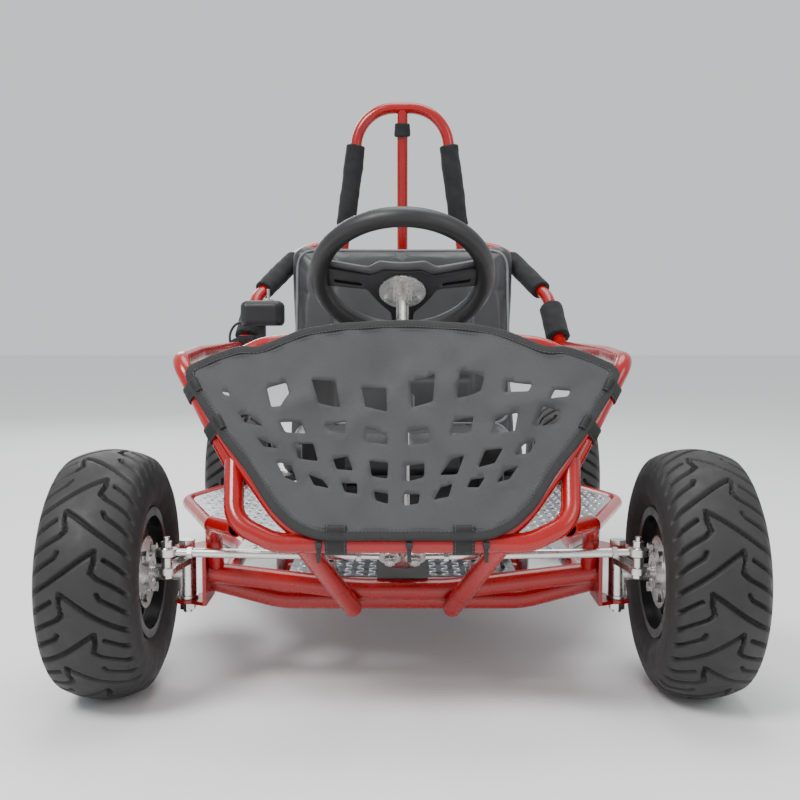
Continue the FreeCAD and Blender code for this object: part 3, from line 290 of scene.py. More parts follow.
SLOTS = {
    "red_paint": "front_axle_beam kingpin_brackets nose_hoop nose_struts side_rails panel_frame "
                 "roll_hoop floor_frame wing_tubes rear_frame",
    "diamond_plate": "floor_pan wing_steps",
    "black_plastic": "seat_shell battery_box control_pod",
    "black_paint": "seat_brackets column_supports rear_rims front_rim_left front_rim_right "
                   "chain_guard motor_mount brake_caliper throttle_pedal brake_pedal",
    "grip_rubber": "steering_wheel",
    "motor_alloy": "motor controller",
}
for slot, names in SLOTS.items():
    for name in names.split():
        dress(NODES[name], LOOKS[slot])
        NODES[name]["dressed"] = True
for obj in NODES.values():
    if "dressed" in obj:
        del obj["dressed"]
    else:
        dress(obj, LOOKS["zinc_steel"])


# ---------------------------------------------------------------- building helpers
def add(name, verts, faces, look, body, replaces=(), sharp=40.0):
    """A mesh piece from metres in the row frame, shaded smooth up to a sharp angle."""
    mesh = bpy.data.meshes.new(name)
    mesh.from_pydata([tuple(v) for v in verts], [], [tuple(f) for f in faces])
    mesh.validate()
    obj = bpy.data.objects.new(name, mesh)
    bpy.context.scene.collection.objects.link(obj)
    dress(obj, look)
    mesh.shade_smooth()
    mesh.set_sharp_from_angle(angle=math.radians(sharp))
    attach(obj, body)
    if replaces:
        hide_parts(*replaces)
    return obj


def outward(obj):
    """Turns every face to look out."""
    work = bmesh.new()
    work.from_mesh(obj.data)
    bmesh.ops.recalc_face_normals(work, faces=work.faces)
    work.to_mesh(obj.data)
    work.free()
    return obj


def sweep(path, ups, section, closed=False):
    """Verts and faces of a closed section, in (side, up), carried along a path."""
    n, k = len(path), len(section)
    verts, faces = [], []
    for i, (spot, up) in enumerate(zip(path, ups)):
        if closed:
            ahead = path[(i + 1) % n] - path[i - 1]
        else:
            ahead = path[min(i + 1, n - 1)] - path[max(i - 1, 0)]
        side = ahead.cross(up).normalized()
        true_up = side.cross(ahead).normalized()
        verts += [spot + side * a + true_up * b for a, b in section]
    for i in range(n if closed else n - 1):
        j = (i + 1) % n
        for m in range(k):
            p = (m + 1) % k
            faces.append((i * k + m, i * k + p, j * k + p, j * k + m))
    if not closed:
        faces.append(tuple(range(k - 1, -1, -1)))
        faces.append(tuple(range((n - 1) * k, n * k)))
    return verts, faces


def rounded_section(width, height, corner, steps=3):
    """A rounded rectangle's points round its middle."""
    points = []
    for cx, cy, start in ((1, 1, 0), (-1, 1, 90), (-1, -1, 180), (1, -1, 270)):
        for i in range(steps + 1):
            angle = math.radians(start + 90 * i / steps)
            points.append((cx * (width / 2 - corner) + corner * math.cos(angle),
                           cy * (height / 2 - corner) + corner * math.sin(angle)))
    return points


def circle(r):
    steps = 10
    return [(r * math.cos(math.tau * i / steps), r * math.sin(math.tau * i / steps)) for i in range(steps)]


def in_metres(section):
    return [(a * MM, b * MM) for a, b in section]


class Heap:
    """Many small solids gathered into one piece."""

    def __init__(self):
        self.verts, self.faces = [], []

    def take(self, verts, faces):
        start = len(self.verts)
        self.verts += [Vector(v) for v in verts]
        self.faces += [tuple(i + start for i in f) for f in faces]


def resampled(points, step):
    """Points a step apart round a closed path."""
    points = [Vector(p) for p in points]
    points.append(points[0])
    lengths = np.cumsum([0] + [(b - a).length for a, b in zip(points, points[1:])])
    count = max(4, int(round(lengths[-1] / step)))
    spots = np.linspace(0, lengths[-1], count, endpoint=False)
    array = np.array(points, float)
    return [Vector(tuple(np.interp(s, lengths, array[:, i]) for i in range(len(points[0])))) for s in spots]


def cornered(points, cut, steps=4):
    """A closed outline with each corner turned into a short curve."""
    made = []
    n = len(points)
    for i in range(n):
        a, b, c = (Vector(points[(i + k) % n]) for k in (-1, 0, 1))
        reach = min(cut, (a - b).length * 0.45, (c - b).length * 0.45)
        start, end = b + (a - b).normalized() * reach, b + (c - b).normalized() * reach
        for k in range(steps + 1):
            t = k / steps
            made.append(start * (1 - t) ** 2 + b * 2 * t * (1 - t) + end * t * t)
    return made


# ---------------------------------------------------------------- tyres
TYRE_R = 165.0
PITCHES = 10
GROOVES = (          # (across, along) in mm on one side of the tread, along one pitch
    ((68, 60), (56, 50), (40, 38), (18, 20), (-6, -2), (-20, -14)),
    ((68, 92), (56, 83), (44, 73), (32, 64)),
    ((68, 125), (56, 115), (42, 104), (25, 93), (17, 84), (21, 66), (20, 51)),
    ((68, 157), (56, 147), (44, 137), (29, 126), (25, 117)),
)
GROOVE_DEPTH = 6.0
MAIN_GROOVE_HALF, SIDE_GROOVE_HALF = 2.9, 2.5
TREAD_HALF = 68           # the tread reaches this far along the section from its middle
TYRE_HALF_WIDTH = 0.0635
PATTERN_PITCH = 130.0     # the along figures above are for a pitch of this length


def tyre_outline():
    """Points (across, radius) of the crown and both walls, and the run along them, in mm."""
    crown_r, crown_z, crown_half = 110.5, 54.5, 52
    half = math.asin(crown_half / crown_r)
    wall_r, wall_x, wall_z, wall_height = 50.27, 13.23, 120, 32
    wall_half = math.asin(wall_height / wall_r)
    out = []
    for a in np.linspace(0, half, 36)[:-1]:
        out.append((crown_r * math.sin(a), crown_z + crown_r * math.cos(a)))
    for a in np.linspace(wall_half, -wall_half, 26):
        out.append((wall_x + wall_r * math.cos(a), wall_z + wall_r * math.sin(a)))
    points = np.array(out)
    for _ in range(6):
        points[30:42] = (points[29:41] + points[30:42] * 2 + points[31:43]) / 4
    step = np.hypot(*np.diff(points, axis=0).T)
    run = np.concatenate([[0], np.cumsum(step)])
    mirrored = points[:0:-1] * (-1, 1)
    return np.concatenate([mirrored, points]), np.concatenate([-run[:0:-1], run])


def groove_depth(across, along):
    """How deep the tread is cut at a spot; the two sides are half a pitch apart."""
    pitch = math.tau * TYRE_R / PITCHES
    along = along % pitch
    deep = np.zeros_like(across)
    for side in (1, -1):
        shift = 0.0 if side == 1 else pitch / 2
        for index, line in enumerate(GROOVES):
            half = MAIN_GROOVE_HALF if index == 0 else SIDE_GROOVE_HALF
            for lap in (-2, -1, 0, 1):
                near = np.full_like(across, 99.0)
                for (x0, s0), (x1, s1) in zip(line, line[1:]):
                    ax, ay = side * x0, (s0 / PATTERN_PITCH + lap) * pitch + shift
                    bx, by = side * x1, (s1 / PATTERN_PITCH + lap) * pitch + shift
                    dx, dy = bx - ax, by - ay
                    t = np.clip(((across - ax) * dx + (along - ay) * dy) / (dx * dx + dy * dy), 0, 1)
                    near = np.minimum(near, np.hypot(across - ax - t * dx, along - ay - t * dy))
                ease = np.clip((half + 0.9 - near) / 1.8, 0, 1)
                deep = np.maximum(deep, ease * ease * (3 - 2 * ease))
    fade = np.clip((TREAD_HALF - np.abs(across)) / 7, 0, 1)
    return deep * GROOVE_DEPTH * fade


def tyre_mesh():
    points, run = tyre_outline()
    coarse, close = 3.4, 1.7
    fine = np.concatenate([np.arange(-run[-1], -TREAD_HALF, coarse),
                           np.arange(-TREAD_HALF, TREAD_HALF + 0.1, close),
                           np.arange(TREAD_HALF + coarse, run[-1], coarse), [run[-1]]])
    across = np.interp(fine, run, points[:, 0])
    radius = np.interp(fine, run, points[:, 1])
    slope = np.gradient(np.stack([across, radius], 1), fine, axis=0)
    normal = np.stack([-slope[:, 1], slope[:, 0]], 1)
    normal /= np.linalg.norm(normal, axis=1)[:, None]
    around = 62 * PITCHES
    angle = np.arange(around) * math.tau / around
    s, t = np.meshgrid(angle * TYRE_R, fine, indexing="ij")
    cut = groove_depth(t, s)
    rings = 0.9 * np.exp(-((np.abs(t) - 78) / 1.6) ** 2) + 0.7 * np.exp(-((np.abs(t) - 104) / 2.2) ** 2)
    lift = rings - cut
    x = across[None, :] + normal[None, :, 0] * lift
    r = radius[None, :] + normal[None, :, 1] * lift
    inner = ((52, 78), (45, 78), (45, 92), (-45, 92), (-45, 78), (-52, 78))
    x = np.concatenate([x, np.tile([p[0] for p in inner], (around, 1))], 1)
    r = np.concatenate([r, np.tile([p[1] for p in inner], (around, 1))], 1)
    a = angle[:, None] * np.ones_like(x)
    verts = np.stack([x, -r * np.cos(a), -r * np.sin(a)], 2) * MM
    columns = x.shape[1]
    index = np.arange(around * columns).reshape(around, columns)
    ahead = np.roll(index, -1, 0)
    beside = np.roll(index, -1, 1)
    both = np.roll(ahead, -1, 1)
    faces = np.stack([index, ahead, both, beside], 2).reshape(-1, 4)
    deep = np.zeros((around, columns))
    deep[:, :cut.shape[1]] = cut
    # The last value marks the faces deep in the grooves, which get the painted shade.
    return verts.reshape(-1, 3), faces, deep.ravel()[faces].min(1) > GROOVE_DEPTH * 0.7


def make_tyres():
    verts, faces, painted_shade_faces = tyre_mesh()
    for name, node, body, side in (("tyre_front_left", "front_tyre_left", "front_wheel_left", 0),
                                   ("tyre_front_right", "front_tyre_right", "front_wheel_right", 0),
                                   ("tyre_rear_left", "rear_tyres", "rear_axle_set", 1),
                                   ("tyre_rear_right", "rear_tyres", "rear_axle_set", -1)):
        low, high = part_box(node)
        centre = (low + high) / 2
        if side:
            edge = high.x if side == 1 else low.x
            centre.x = edge - side * TYRE_HALF_WIDTH
        moved = verts + np.array(centre)
        tyre = add(name, moved, faces, LOOKS["tyre_rubber"], body, (node,), 60)
        # Faces deep in the grooves get the darker rubber as painted shade.
        tyre.data.materials.append(GROOVE_PAINTED_SHADE)
        tyre.data.polygons.foreach_set("material_index", painted_shade_faces.astype(np.int32))


# ---------------------------------------------------------------- tread plate lugs
LUG_PITCH = 17.0


def lug(centre, angle):
    """One raised lens of tread plate: a low boat shape with a rounded top."""
    length, width, height = 15.0, 4.6, 1.3
    rings = ((1.0, -0.4), (0.96, 0.35), (0.72, 0.85), (0.34, 1.0))
    verts, faces = [], []
    steps = 12
    turn = Matrix.Rotation(angle, 3, "Z")
    for share, rise in rings:
        for i in range(steps):
            a = math.tau * i / steps
            point = Vector((length / 2 * math.cos(a) * share,
                            width / 2 * math.sin(a) * share, rise * height))
            verts.append(centre + turn @ point * MM)
    for k in range(len(rings) - 1):
        for i in range(steps):
            j = (i + 1) % steps
            faces.append((k * steps + i, k * steps + j, (k + 1) * steps + j, (k + 1) * steps + i))
    top = (len(rings) - 1) * steps
    faces.append(tuple(range(top, top + steps)))
    return verts, faces


def lay_lugs(name, node):
    """Lugs in a basket pattern wherever the plate under them is flat and clear of its edge."""
    source = NODES[node]
    tree = BVHTree.FromObject(source, bpy.context.evaluated_depsgraph_get())
    low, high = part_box(node)
    heap = Heap()
    step = LUG_PITCH * MM
    rows = int((high.y - low.y) / step) + 1
    columns = int(high.x / step) + 2
    for row in range(rows):
        for column in range(-columns, columns + 1):
            spot = Vector(((column + 0.5) * step, low.y + (row + 0.5) * step, 0))
            angle = math.radians(45 if (row + column) % 2 else -45)
            reach = Vector((math.cos(angle), math.sin(angle), 0)) * 0.0115
            side = Vector((-reach.y, reach.x, 0)) * 0.5
            hits = []
            for test in (spot, spot + reach, spot - reach, spot + side, spot - side):
                hit = tree.ray_cast(Vector((test.x, test.y, 0.4)), Vector((0, 0, -1)))
                hits.append(hit[0].z if hit[0] is not None else -1.0)
            if min(hits) > high.z - 0.0006:
                heap.take(*lug(Vector((spot.x, spot.y, high.z)), angle))
    add(name, heap.verts, heap.faces, LOOKS["diamond_plate"], "chassis", (), 50)


# ---------------------------------------------------------------- nose shield
SHIELD_HALF = ((0, 501), (76, 497), (126, 490), (156, 478), (184, 466), (206, 468), (238, 458),
               (276, 440), (262, 413), (224, 362), (186, 321), (157, 281), (131, 259), (100, 247))
SHIELD_FOOT_Y, SHIELD_FOOT_Z, SHIELD_LEAN = -645.0, 247.0, 0.60
CLOTH_T = 1.7
OUT = Vector((0, -1, SHIELD_LEAN)).normalized()
CUTS = (
    ((-169, 417), (-146, 425), (-141, 411), (-150, 394), (-162, 394)),
    ((-114, 428), (-83, 426), (-77, 395), (-104, 398)),
    ((-51, 420), (-20, 418), (-19, 389), (-46, 394)),
    ((-225, 413), (-216, 411), (-214, 407), (-222, 409)),
    ((-203, 388), (-186, 383), (-170, 370), (-193, 376)),
    ((-150, 376), (-124, 376), (-118, 363), (-143, 364)),
    ((-96, 373), (-70, 378), (-69, 359), (-90, 368)),
    ((-45, 370), (-31, 368), (-18, 362), (-18, 351), (-43, 354)),
    ((-178, 359), (-165, 353), (-149, 345), (-168, 348)),
    ((-131, 352), (-108, 352), (-102, 332), (-126, 335)),
    ((-84, 335), (-66, 338), (-59, 321), (-79, 323)),
    ((-40, 332), (-17, 331), (-18, 313), (-37, 315)),
    ((-152, 331), (-133, 327), (-126, 309), (-140, 313)),
    ((-113, 318), (-95, 311), (-87, 301), (-105, 305)),
    ((-73, 308), (-54, 306), (-53, 294), (-68, 297)),
    ((-34, 299), (-17, 297), (-17, 285), (-32, 289)),
    ((10, 422), (41, 434), (38, 402), (11, 393)),
    ((73, 439), (103, 431), (98, 415), (68, 406)),
    ((130, 425), (162, 421), (157, 412), (126, 411)),
    ((190, 414), (210, 415), (206, 408), (183, 402)),
    ((7, 366), (33, 369), (33, 354), (7, 351)),
    ((63, 379), (88, 385), (84, 366), (60, 361)),
    ((115, 381), (142, 386), (137, 365), (109, 362)),
    ((174, 394), (196, 390), (190, 376), (161, 371)),
    ((5, 329), (27, 331), (26, 315), (5, 311)),
    ((45, 318), (59, 335), (75, 339), (66, 318)),
    ((91, 325), (100, 344), (122, 346), (111, 329)),
    ((136, 338), (148, 351), (163, 356), (154, 341)),
    ((2, 297), (21, 297), (19, 286), (2, 283)),
    ((37, 289), (46, 304), (60, 308), (55, 293)),
    ((77, 303), (82, 312), (99, 314), (91, 303)),
    ((113, 308), (123, 321), (140, 327), (128, 312)),
)
FOLDS = (            # from, to, height and breadth of each pulled fold, mm
    (9, 436, -72, 366, 6.0, 14), (-140, 398, -84, 412, 4.5, 11), (66, 450, 98, 384, -6.0, 14),
    (118, 392, 186, 404, 4.5, 11), (80, 252, 130, 300, -5.0, 9), (-156, 274, -122, 306, -4.5, 9),
    (-70, 254, -40, 330, 3.2, 10), (60, 254, 30, 320, 3.2, 10), (-236, 430, -150, 350, 3.6, 12),
    (240, 430, 160, 352, -3.6, 12), (-30, 488, -20, 430, -4.4, 17), (120, 478, 60, 420, 4.2, 14),
    (-110, 470, -150, 410, -3.6, 13), (-10, 400, 60, 345, 3.4, 12), (170, 450, 200, 400, 3.0, 11),
)


def drape(x, z, edge):
    """How far the cloth stands off its plane, in mm: slack between its tubes, with pulled folds."""
    free = np.clip((edge - 6) / 60, 0, 1)
    free = free * free * (3 - 2 * free)
    lift = 2.4 * np.sin(0.021 * x + 0.013 * z) + 1.6 * np.sin(0.043 * x - 0.031 * z + 0.8) - 1.5
    for x0, z0, x1, z1, high, wide in FOLDS:
        dx, dz = x1 - x0, z1 - z0
        t = np.clip(((x - x0) * dx + (z - z0) * dz) / (dx * dx + dz * dz), 0, 1)
        lift = lift + high * np.exp(-((x - x0 - t * dx) ** 2 + (z - z0 - t * dz) ** 2) / wide ** 2)
    ripple = 0.55 * np.sin(0.15 * x + 0.09 * z + 1.4 * np.sin(0.05 * z)) * np.clip(edge / 25, 0, 1)
    hem = 0.5 * np.sin(0.11 * x + 0.2 * z) * np.clip(1 - edge / 45, 0, 1)
    return free * lift + ripple + hem


def edge_distance(x, z, loop):
    line = np.array([(p.x, p.y) for p in loop])
    ahead = np.roll(line, -1, 0)
    best = np.full(np.shape(x), 1e9)
    for (ax, az), (bx, bz) in zip(line, ahead):
        dx, dz = bx - ax, bz - az
        t = np.clip(((x - ax) * dx + (z - az) * dz) / (dx * dx + dz * dz + 1e-9), 0, 1)
        best = np.minimum(best, np.hypot(x - ax - t * dx, z - az - t * dz))
    return best


def inside(x, z, loop):
    line = np.array([(p.x, p.y) for p in loop])
    ahead = np.roll(line, -1, 0)
    odd = np.zeros(np.shape(x), bool)
    for (ax, az), (bx, bz) in zip(line, ahead):
        if az != bz:
            odd ^= ((az > z) != (bz > z)) & (x < (bx - ax) * (z - az) / (bz - az) + ax)
    return odd


def on_shield(x, z, edge, out=0.0):
    """Row-frame points on the draped cloth's middle, out mm in front of it."""
    x, z, edge = (np.asarray(v, float) for v in (x, z, edge))
    base = np.stack([x, SHIELD_FOOT_Y + SHIELD_LEAN * (z - SHIELD_FOOT_Z), z], -1)
    off = drape(x, z, edge) + 1.25 + out
    return (base + off[..., None] * np.array(OUT)) * MM


def stitch_row(heap, path, ups, inset, rise, pitch=4.6, length=3.3, r=0.45):
    """Thread lying along a path: short round stitches, inset to the side and raised."""
    carry = 0.0
    for a, b, up in zip(path, path[1:] + path[:1], ups):
        ahead = b - a
        size = ahead.length
        if size < 1e-9:
            continue
        ahead = ahead / size
        side = ahead.cross(up).normalized()
        true_up = side.cross(ahead)
        while carry < size:
            spot = a + ahead * carry + side * inset * MM + true_up * rise * MM
            half = length / 2 * MM
            verts, faces = [spot - ahead * half], []
            for along, thick in ((-0.8, 0.8), (0.0, 1.0), (0.8, 0.8)):
                for k in range(6):
                    angle = math.tau * k / 6
                    verts.append(spot + ahead * half * along
                                 + (side * math.cos(angle) + true_up * math.sin(angle)) * r * thick * MM)
            verts.append(spot + ahead * half)
            for k in range(6):
                j = (k + 1) % 6
                faces.append((0, 1 + j, 1 + k))
                faces.append((19, 13 + k, 13 + j))
                for ring in (1, 7):
                    faces.append((ring + k, ring + j, ring + 6 + j, ring + 6 + k))
            heap.take(verts, faces)
            carry += pitch * MM
        carry -= size


def make_shield():
    half = [Vector(p) for p in SHIELD_HALF]
    corners = half + [Vector((-p.x, p.y)) for p in reversed(half[1:])]
    outline = resampled(cornered(corners, 14), 6.0)
    cuts = [resampled(cornered([Vector(p) for p in cut], 1.0, 1), 2.2) for cut in CUTS]
    gx, gz = np.meshgrid(np.arange(-280, 281, 6.5), np.arange(244, 504, 6.5))
    gx = gx + (np.arange(gx.shape[0]) % 2)[:, None] * 3.25
    gx, gz = gx.ravel(), gz.ravel()
    keep = inside(gx, gz, outline) & (edge_distance(gx, gz, outline) > 3.2)
    for cut in cuts:
        keep &= ~inside(gx, gz, cut) & (edge_distance(gx, gz, cut) > 2.4)
    points, edges = [], []
    for loop in [outline, *cuts]:
        start = len(points)
        points += [Vector((p.x, p.y)) for p in loop]
        edges += [(start + i, start + (i + 1) % len(loop)) for i in range(len(loop))]
    points += [Vector((float(a), float(b))) for a, b in zip(gx[keep], gz[keep])]
    flat, _, triangles = delaunay_2d_cdt(points, edges, [], 0, 1e-5)[:3]
    xy = np.array([(p.x, p.y) for p in flat])
    tri = np.array([t for t in triangles if len(t) == 3])
    mid = xy[tri].mean(1)
    good = inside(mid[:, 0], mid[:, 1], outline)
    for cut in cuts:
        good &= ~inside(mid[:, 0], mid[:, 1], cut)
    tri = tri[good]
    a, b, c = xy[tri[:, 0]], xy[tri[:, 1]], xy[tri[:, 2]]
    cross = (b[:, 0] - a[:, 0]) * (c[:, 1] - a[:, 1]) - (b[:, 1] - a[:, 1]) * (c[:, 0] - a[:, 0])
    tri = np.where((cross > 0)[:, None], tri, tri[:, ::-1])
    spots = on_shield(xy[:, 0], xy[:, 1], edge_distance(xy[:, 0], xy[:, 1], outline))
    cloth = add("nose_shield_cloth", spots, tri.tolist(), LOOKS["shield_cloth"], "chassis",
                ("front_panel",), 70)
    thick = cloth.modifiers.new("thickness", "SOLIDIFY")
    thick.thickness, thick.offset = CLOTH_T * MM, 0.0

    ox = np.array([p.x for p in outline])
    oz = np.array([p.y for p in outline])
    rim = [Vector(p) for p in on_shield(ox, oz, np.zeros_like(ox))]
    ups = [OUT] * len(rim)
    section = [((a + 4.6) * MM, b * MM) for a, b in rounded_section(12.0, 4.6, 2.0)]
    verts, faces = sweep(rim, ups, section, True)
    tape = outward(add("nose_shield_binding", verts, faces, BINDING, "chassis", (), 60))
    seam = Heap()
    stitch_row(seam, rim, ups, 9.0, 2.2)
    stitch_row(seam, rim, ups, 13.6, 1.0)
    thread = add("nose_shield_stitching", seam.verts, seam.faces, THREAD, "chassis")


# ---------------------------------------------------------------- webbing loops and nylon ties
def belt(circles):
    """The taut loop round circles (a, b, r) in one plane, as points in order."""
    spots = sorted((a + r * math.cos(math.tau * k / 40), b + r * math.sin(math.tau * k / 40))
                   for a, b, r in circles for k in range(40))

    def chain(points):
        made = []
        for p in points:
            while len(made) > 1 and ((made[-1][0] - made[-2][0]) * (p[1] - made[-2][1])
                                     - (made[-1][1] - made[-2][1]) * (p[0] - made[-2][0])) <= 0:
                made.pop()
            made.append(p)
        return made[:-1]

    return resampled([Vector(p) for p in chain(spots) + chain(spots[::-1])], 1.8)


def loop_strap(heap, seam, centre, toward, along, circles, width, thick):
    """A webbing loop in the plane of toward, square to along, round its circles (mm)."""
    a_axis = (toward - along * toward.dot(along)).normalized()
    b_axis = along.cross(a_axis)
    flat = belt(circles)
    path = [centre + (a_axis * p.x + b_axis * p.y) * MM for p in flat]
    middle = sum(path, Vector()) / len(path)
    ups = [(p - middle).normalized() for p in path]
    section = in_metres(rounded_section(width, thick, thick * 0.42, 2))
    heap.take(*sweep(path, ups, section, True))
    for inset in (-width / 2 + 2.2, width / 2 - 2.2):
        stitch_row(seam, path, ups, inset, thick / 2, 4.2, 3.0, 0.35)


def make_straps():
    webbing, seam = Heap(), Heap()
    across = Vector((1, 0, 0))
    nose = Vector((0, -0.630, 0.240))
    for x in (-0.078, 0.072):
        edge_z = 258.0
        edge = Vector((x, (SHIELD_FOOT_Y + SHIELD_LEAN * (edge_z - SHIELD_FOOT_Z)) * MM, edge_z * MM))
        edge += OUT * 1.3 * MM
        centre = Vector((x, nose.y, nose.z))
        gap = (edge - centre).length / MM
        loop_strap(webbing, seam, centre, edge - centre, across,
                   ((0, 0, 13.4), (gap, 0, 3.8)), 25, 1.7)
    foot, tip = Vector((0.206, -0.566, 0.318)), Vector((0.286, -0.506, 0.450))
    rise = (tip - foot).normalized()
    edge_line = sorted((p[1], p[0]) for p in SHIELD_HALF[7:])
    for share in (0.33, 0.70):
        spot = foot + (tip - foot) * share
        z = spot.z / MM
        edge_x = float(np.interp(z, [p[0] for p in edge_line], [p[1] for p in edge_line])) - 9
        edge = Vector((edge_x, SHIELD_FOOT_Y + SHIELD_LEAN * (z - SHIELD_FOOT_Z), z)) * MM + OUT * 1.3 * MM
        for side in (1, -1):
            centre = Vector((spot.x * side, spot.y, spot.z))
            reach = Vector((edge.x * side, edge.y, edge.z)) - centre
            along = Vector((rise.x * side, rise.y, rise.z))
            square = reach - along * reach.dot(along)
            loop_strap(webbing, seam, centre, reach, along,
                       ((0, 0, 12.4), (square.length / MM, 0, 3.6)), 20, 1.7)
    add("shield_straps", webbing.verts, webbing.faces, LOOKS["webbing"], "chassis",
        ("panel_straps",), 50)
    add("strap_stitching", seam.verts, seam.faces, THREAD, "chassis")
    ties = Heap()
    for x in (-0.098, 0.008, 0.098):
        centre = Vector((x, nose.y, nose.z))
        path = [centre + Vector((0, -math.cos(a), math.sin(a))) * 13.1 * MM
                for a in np.linspace(0, math.tau, 41)[:-1]]
        ups = [(p - centre).normalized() for p in path]
        ties.take(*sweep(path, ups, in_metres(rounded_section(4.8, 1.4, 0.5, 2)), True))
        head = [centre + Vector((0, -0.0128, -0.0035)), centre + Vector((0, -0.0128, 0.0035))]
        block = in_metres(rounded_section(7.6, 6.4, 1.2, 3))
        ties.take(*sweep(head, [Vector((0, -1, 0))] * 2, block))
        tail = [centre + Vector((0, -0.0140, -0.003)), centre + Vector((0, -0.0160, -0.010)),
                centre + Vector((0, -0.0150, -0.020))]
        strip = in_metres(rounded_section(4.6, 1.2, 0.4, 2))
        ties.take(*sweep(tail, [Vector((0, -1, 0))] * 3, strip))
    outward(add("nylon_ties", ties.verts, ties.faces, LOOKS["black_plastic"], "chassis"))


# ---------------------------------------------------------------- soft trim
def evaluated(obj):
    graph = bpy.context.evaluated_depsgraph_get()
    return bpy.data.meshes.new_from_object(obj.evaluated_get(graph), depsgraph=graph)


def spots_of(mesh):
    co = np.zeros(len(mesh.vertices) * 3)
    mesh.vertices.foreach_get("co", co)
    return co.reshape(-1, 3)


def move_spots(mesh, co):
    mesh.vertices.foreach_set("co", co.ravel())
    mesh.update()


def normals_of(mesh):
    n = np.zeros(len(mesh.vertices) * 3)
    mesh.vertices.foreach_get("normal", n)
    return n.reshape(-1, 3)


def remeshed(name, node, voxel, shrink=0.0):
    """A fresh closed mesh in the shape of a CAD node, evenly divided."""
    obj = bpy.data.objects.new(name, NODES[node].data.copy())
    bpy.context.scene.collection.objects.link(obj)
    weld = obj.modifiers.new("weld", "WELD")
    weld.merge_threshold = 0.00001
    grid = obj.modifiers.new("grid", "REMESH")
    grid.mode, grid.voxel_size = "VOXEL", voxel
    mesh = evaluated(obj)
    obj.modifiers.clear()
    obj.data = mesh
    if shrink:
        move_spots(mesh, spots_of(mesh) - normals_of(mesh) * shrink)
    return obj


def inflate(obj, pressure, cap):
    """Blows the piece up as cloth, each point moving no further than cap."""
    start = spots_of(obj.data)
    cloth = obj.modifiers.new("cloth", "CLOTH")
    settings = cloth.settings
    settings.quality, settings.mass = 6, 0.25
    settings.tension_stiffness = settings.compression_stiffness = 9
    settings.shear_stiffness, settings.bending_stiffness = 5, 1.2
    settings.use_pressure = True
    settings.uniform_pressure_force = pressure
    settings.effector_weights.gravity = 0.0
    cloth.point_cache.frame_start, cloth.point_cache.frame_end = 1, 20
    scene = bpy.context.scene
    for number in range(1, 21):
        scene.frame_set(number)
    swollen = spots_of(evaluated(obj))
    obj.modifiers.clear()
    scene.frame_set(1)
    move = swollen - start
    size = np.linalg.norm(move, axis=1)[:, None]
    move *= np.minimum(1.0, cap / np.maximum(size, 1e-9))
    move_spots(obj.data, start + move)


def finish_soft(obj, look, nodes):
    """Dresses and smooths a padded piece, hangs it on the chassis and hides the parts it takes over."""
    dress(obj, look)
    obj.data.shade_smooth()
    smooth = obj.modifiers.new("smooth", "SUBSURF")
    smooth.levels = smooth.render_levels = 1
    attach(obj, "chassis")
    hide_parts(*nodes)
    return obj


SEAT_LEAN = math.radians(10.0)
BACK_Y, BACK_Z = 104.0, 242.0
BACK_WIDER, BACK_TALLER, BACK_PLAIN_TO = 1.035, 0.07, 0.5    # how the stuffed back outgrows its shell
UP_BACK = Vector((0, math.sin(SEAT_LEAN), math.cos(SEAT_LEAN)))
FRONT_OF_BACK = Vector((0, -math.cos(SEAT_LEAN), math.sin(SEAT_LEAN)))


def press(obj, lines, breadth, depth, frame_of, facing):
    """Sewn channels: presses a rounded groove into the faces that look along facing."""
    co, normals = spots_of(obj.data), normals_of(obj.data)
    local = frame_of(co) / MM
    near = np.full(len(co), 1e9)
    for line in lines:
        for (x0, h0), (x1, h1) in zip(line, line[1:]):
            dx, dh = x1 - x0, h1 - h0
            t = np.clip(((local[:, 0] - x0) * dx + (local[:, 1] - h0) * dh) / (dx * dx + dh * dh), 0, 1)
            near = np.minimum(near, np.hypot(local[:, 0] - x0 - t * dx, local[:, 1] - h0 - t * dh))
    face = np.clip(normals @ np.array(facing) * 1.6 - 0.5, 0, 1)
    push = depth * np.exp(-(near / breadth) ** 2) * face
    move_spots(obj.data, co - normals * push[:, None] * MM)


def piping(name, obj, flat, place, facing):
    """A welt round a closed line on a cushion, sitting on its surface."""
    r = 2.6
    tree = BVHTree.FromObject(obj, bpy.context.evaluated_depsgraph_get())
    path, ups = [], []
    for p in resampled([Vector(q) for q in flat], 5.0):
        start = place(p.x, p.y) + facing * 0.08
        hit = tree.ray_cast(start, -facing)
        if hit[0] is None:
            hit = tree.find_nearest(place(p.x, p.y))
        path.append(hit[0])
        ups.append(facing)
    for _ in range(3):
        path = [(path[i - 1] + path[i] * 2 + path[(i + 1) % len(path)]) / 4 for i in range(len(path))]
    ring = [(a * MM, (b + r * 0.35) * MM) for a, b in circle(r)]
    verts, faces = sweep(path, ups, ring, True)
    # The welt is coloured with the pale grey of the painted highlight.
    outward(add(name, verts, faces, PIPING_PAINTED_HIGHLIGHT, "chassis", (), 60))


def rounded_loop(half, low, high, corner):
    return [(p.x, p.y) for p in cornered([Vector((-half, low)), Vector((half, low)), Vector((half, high)),
                                          Vector((-half, high))], corner, 6)]


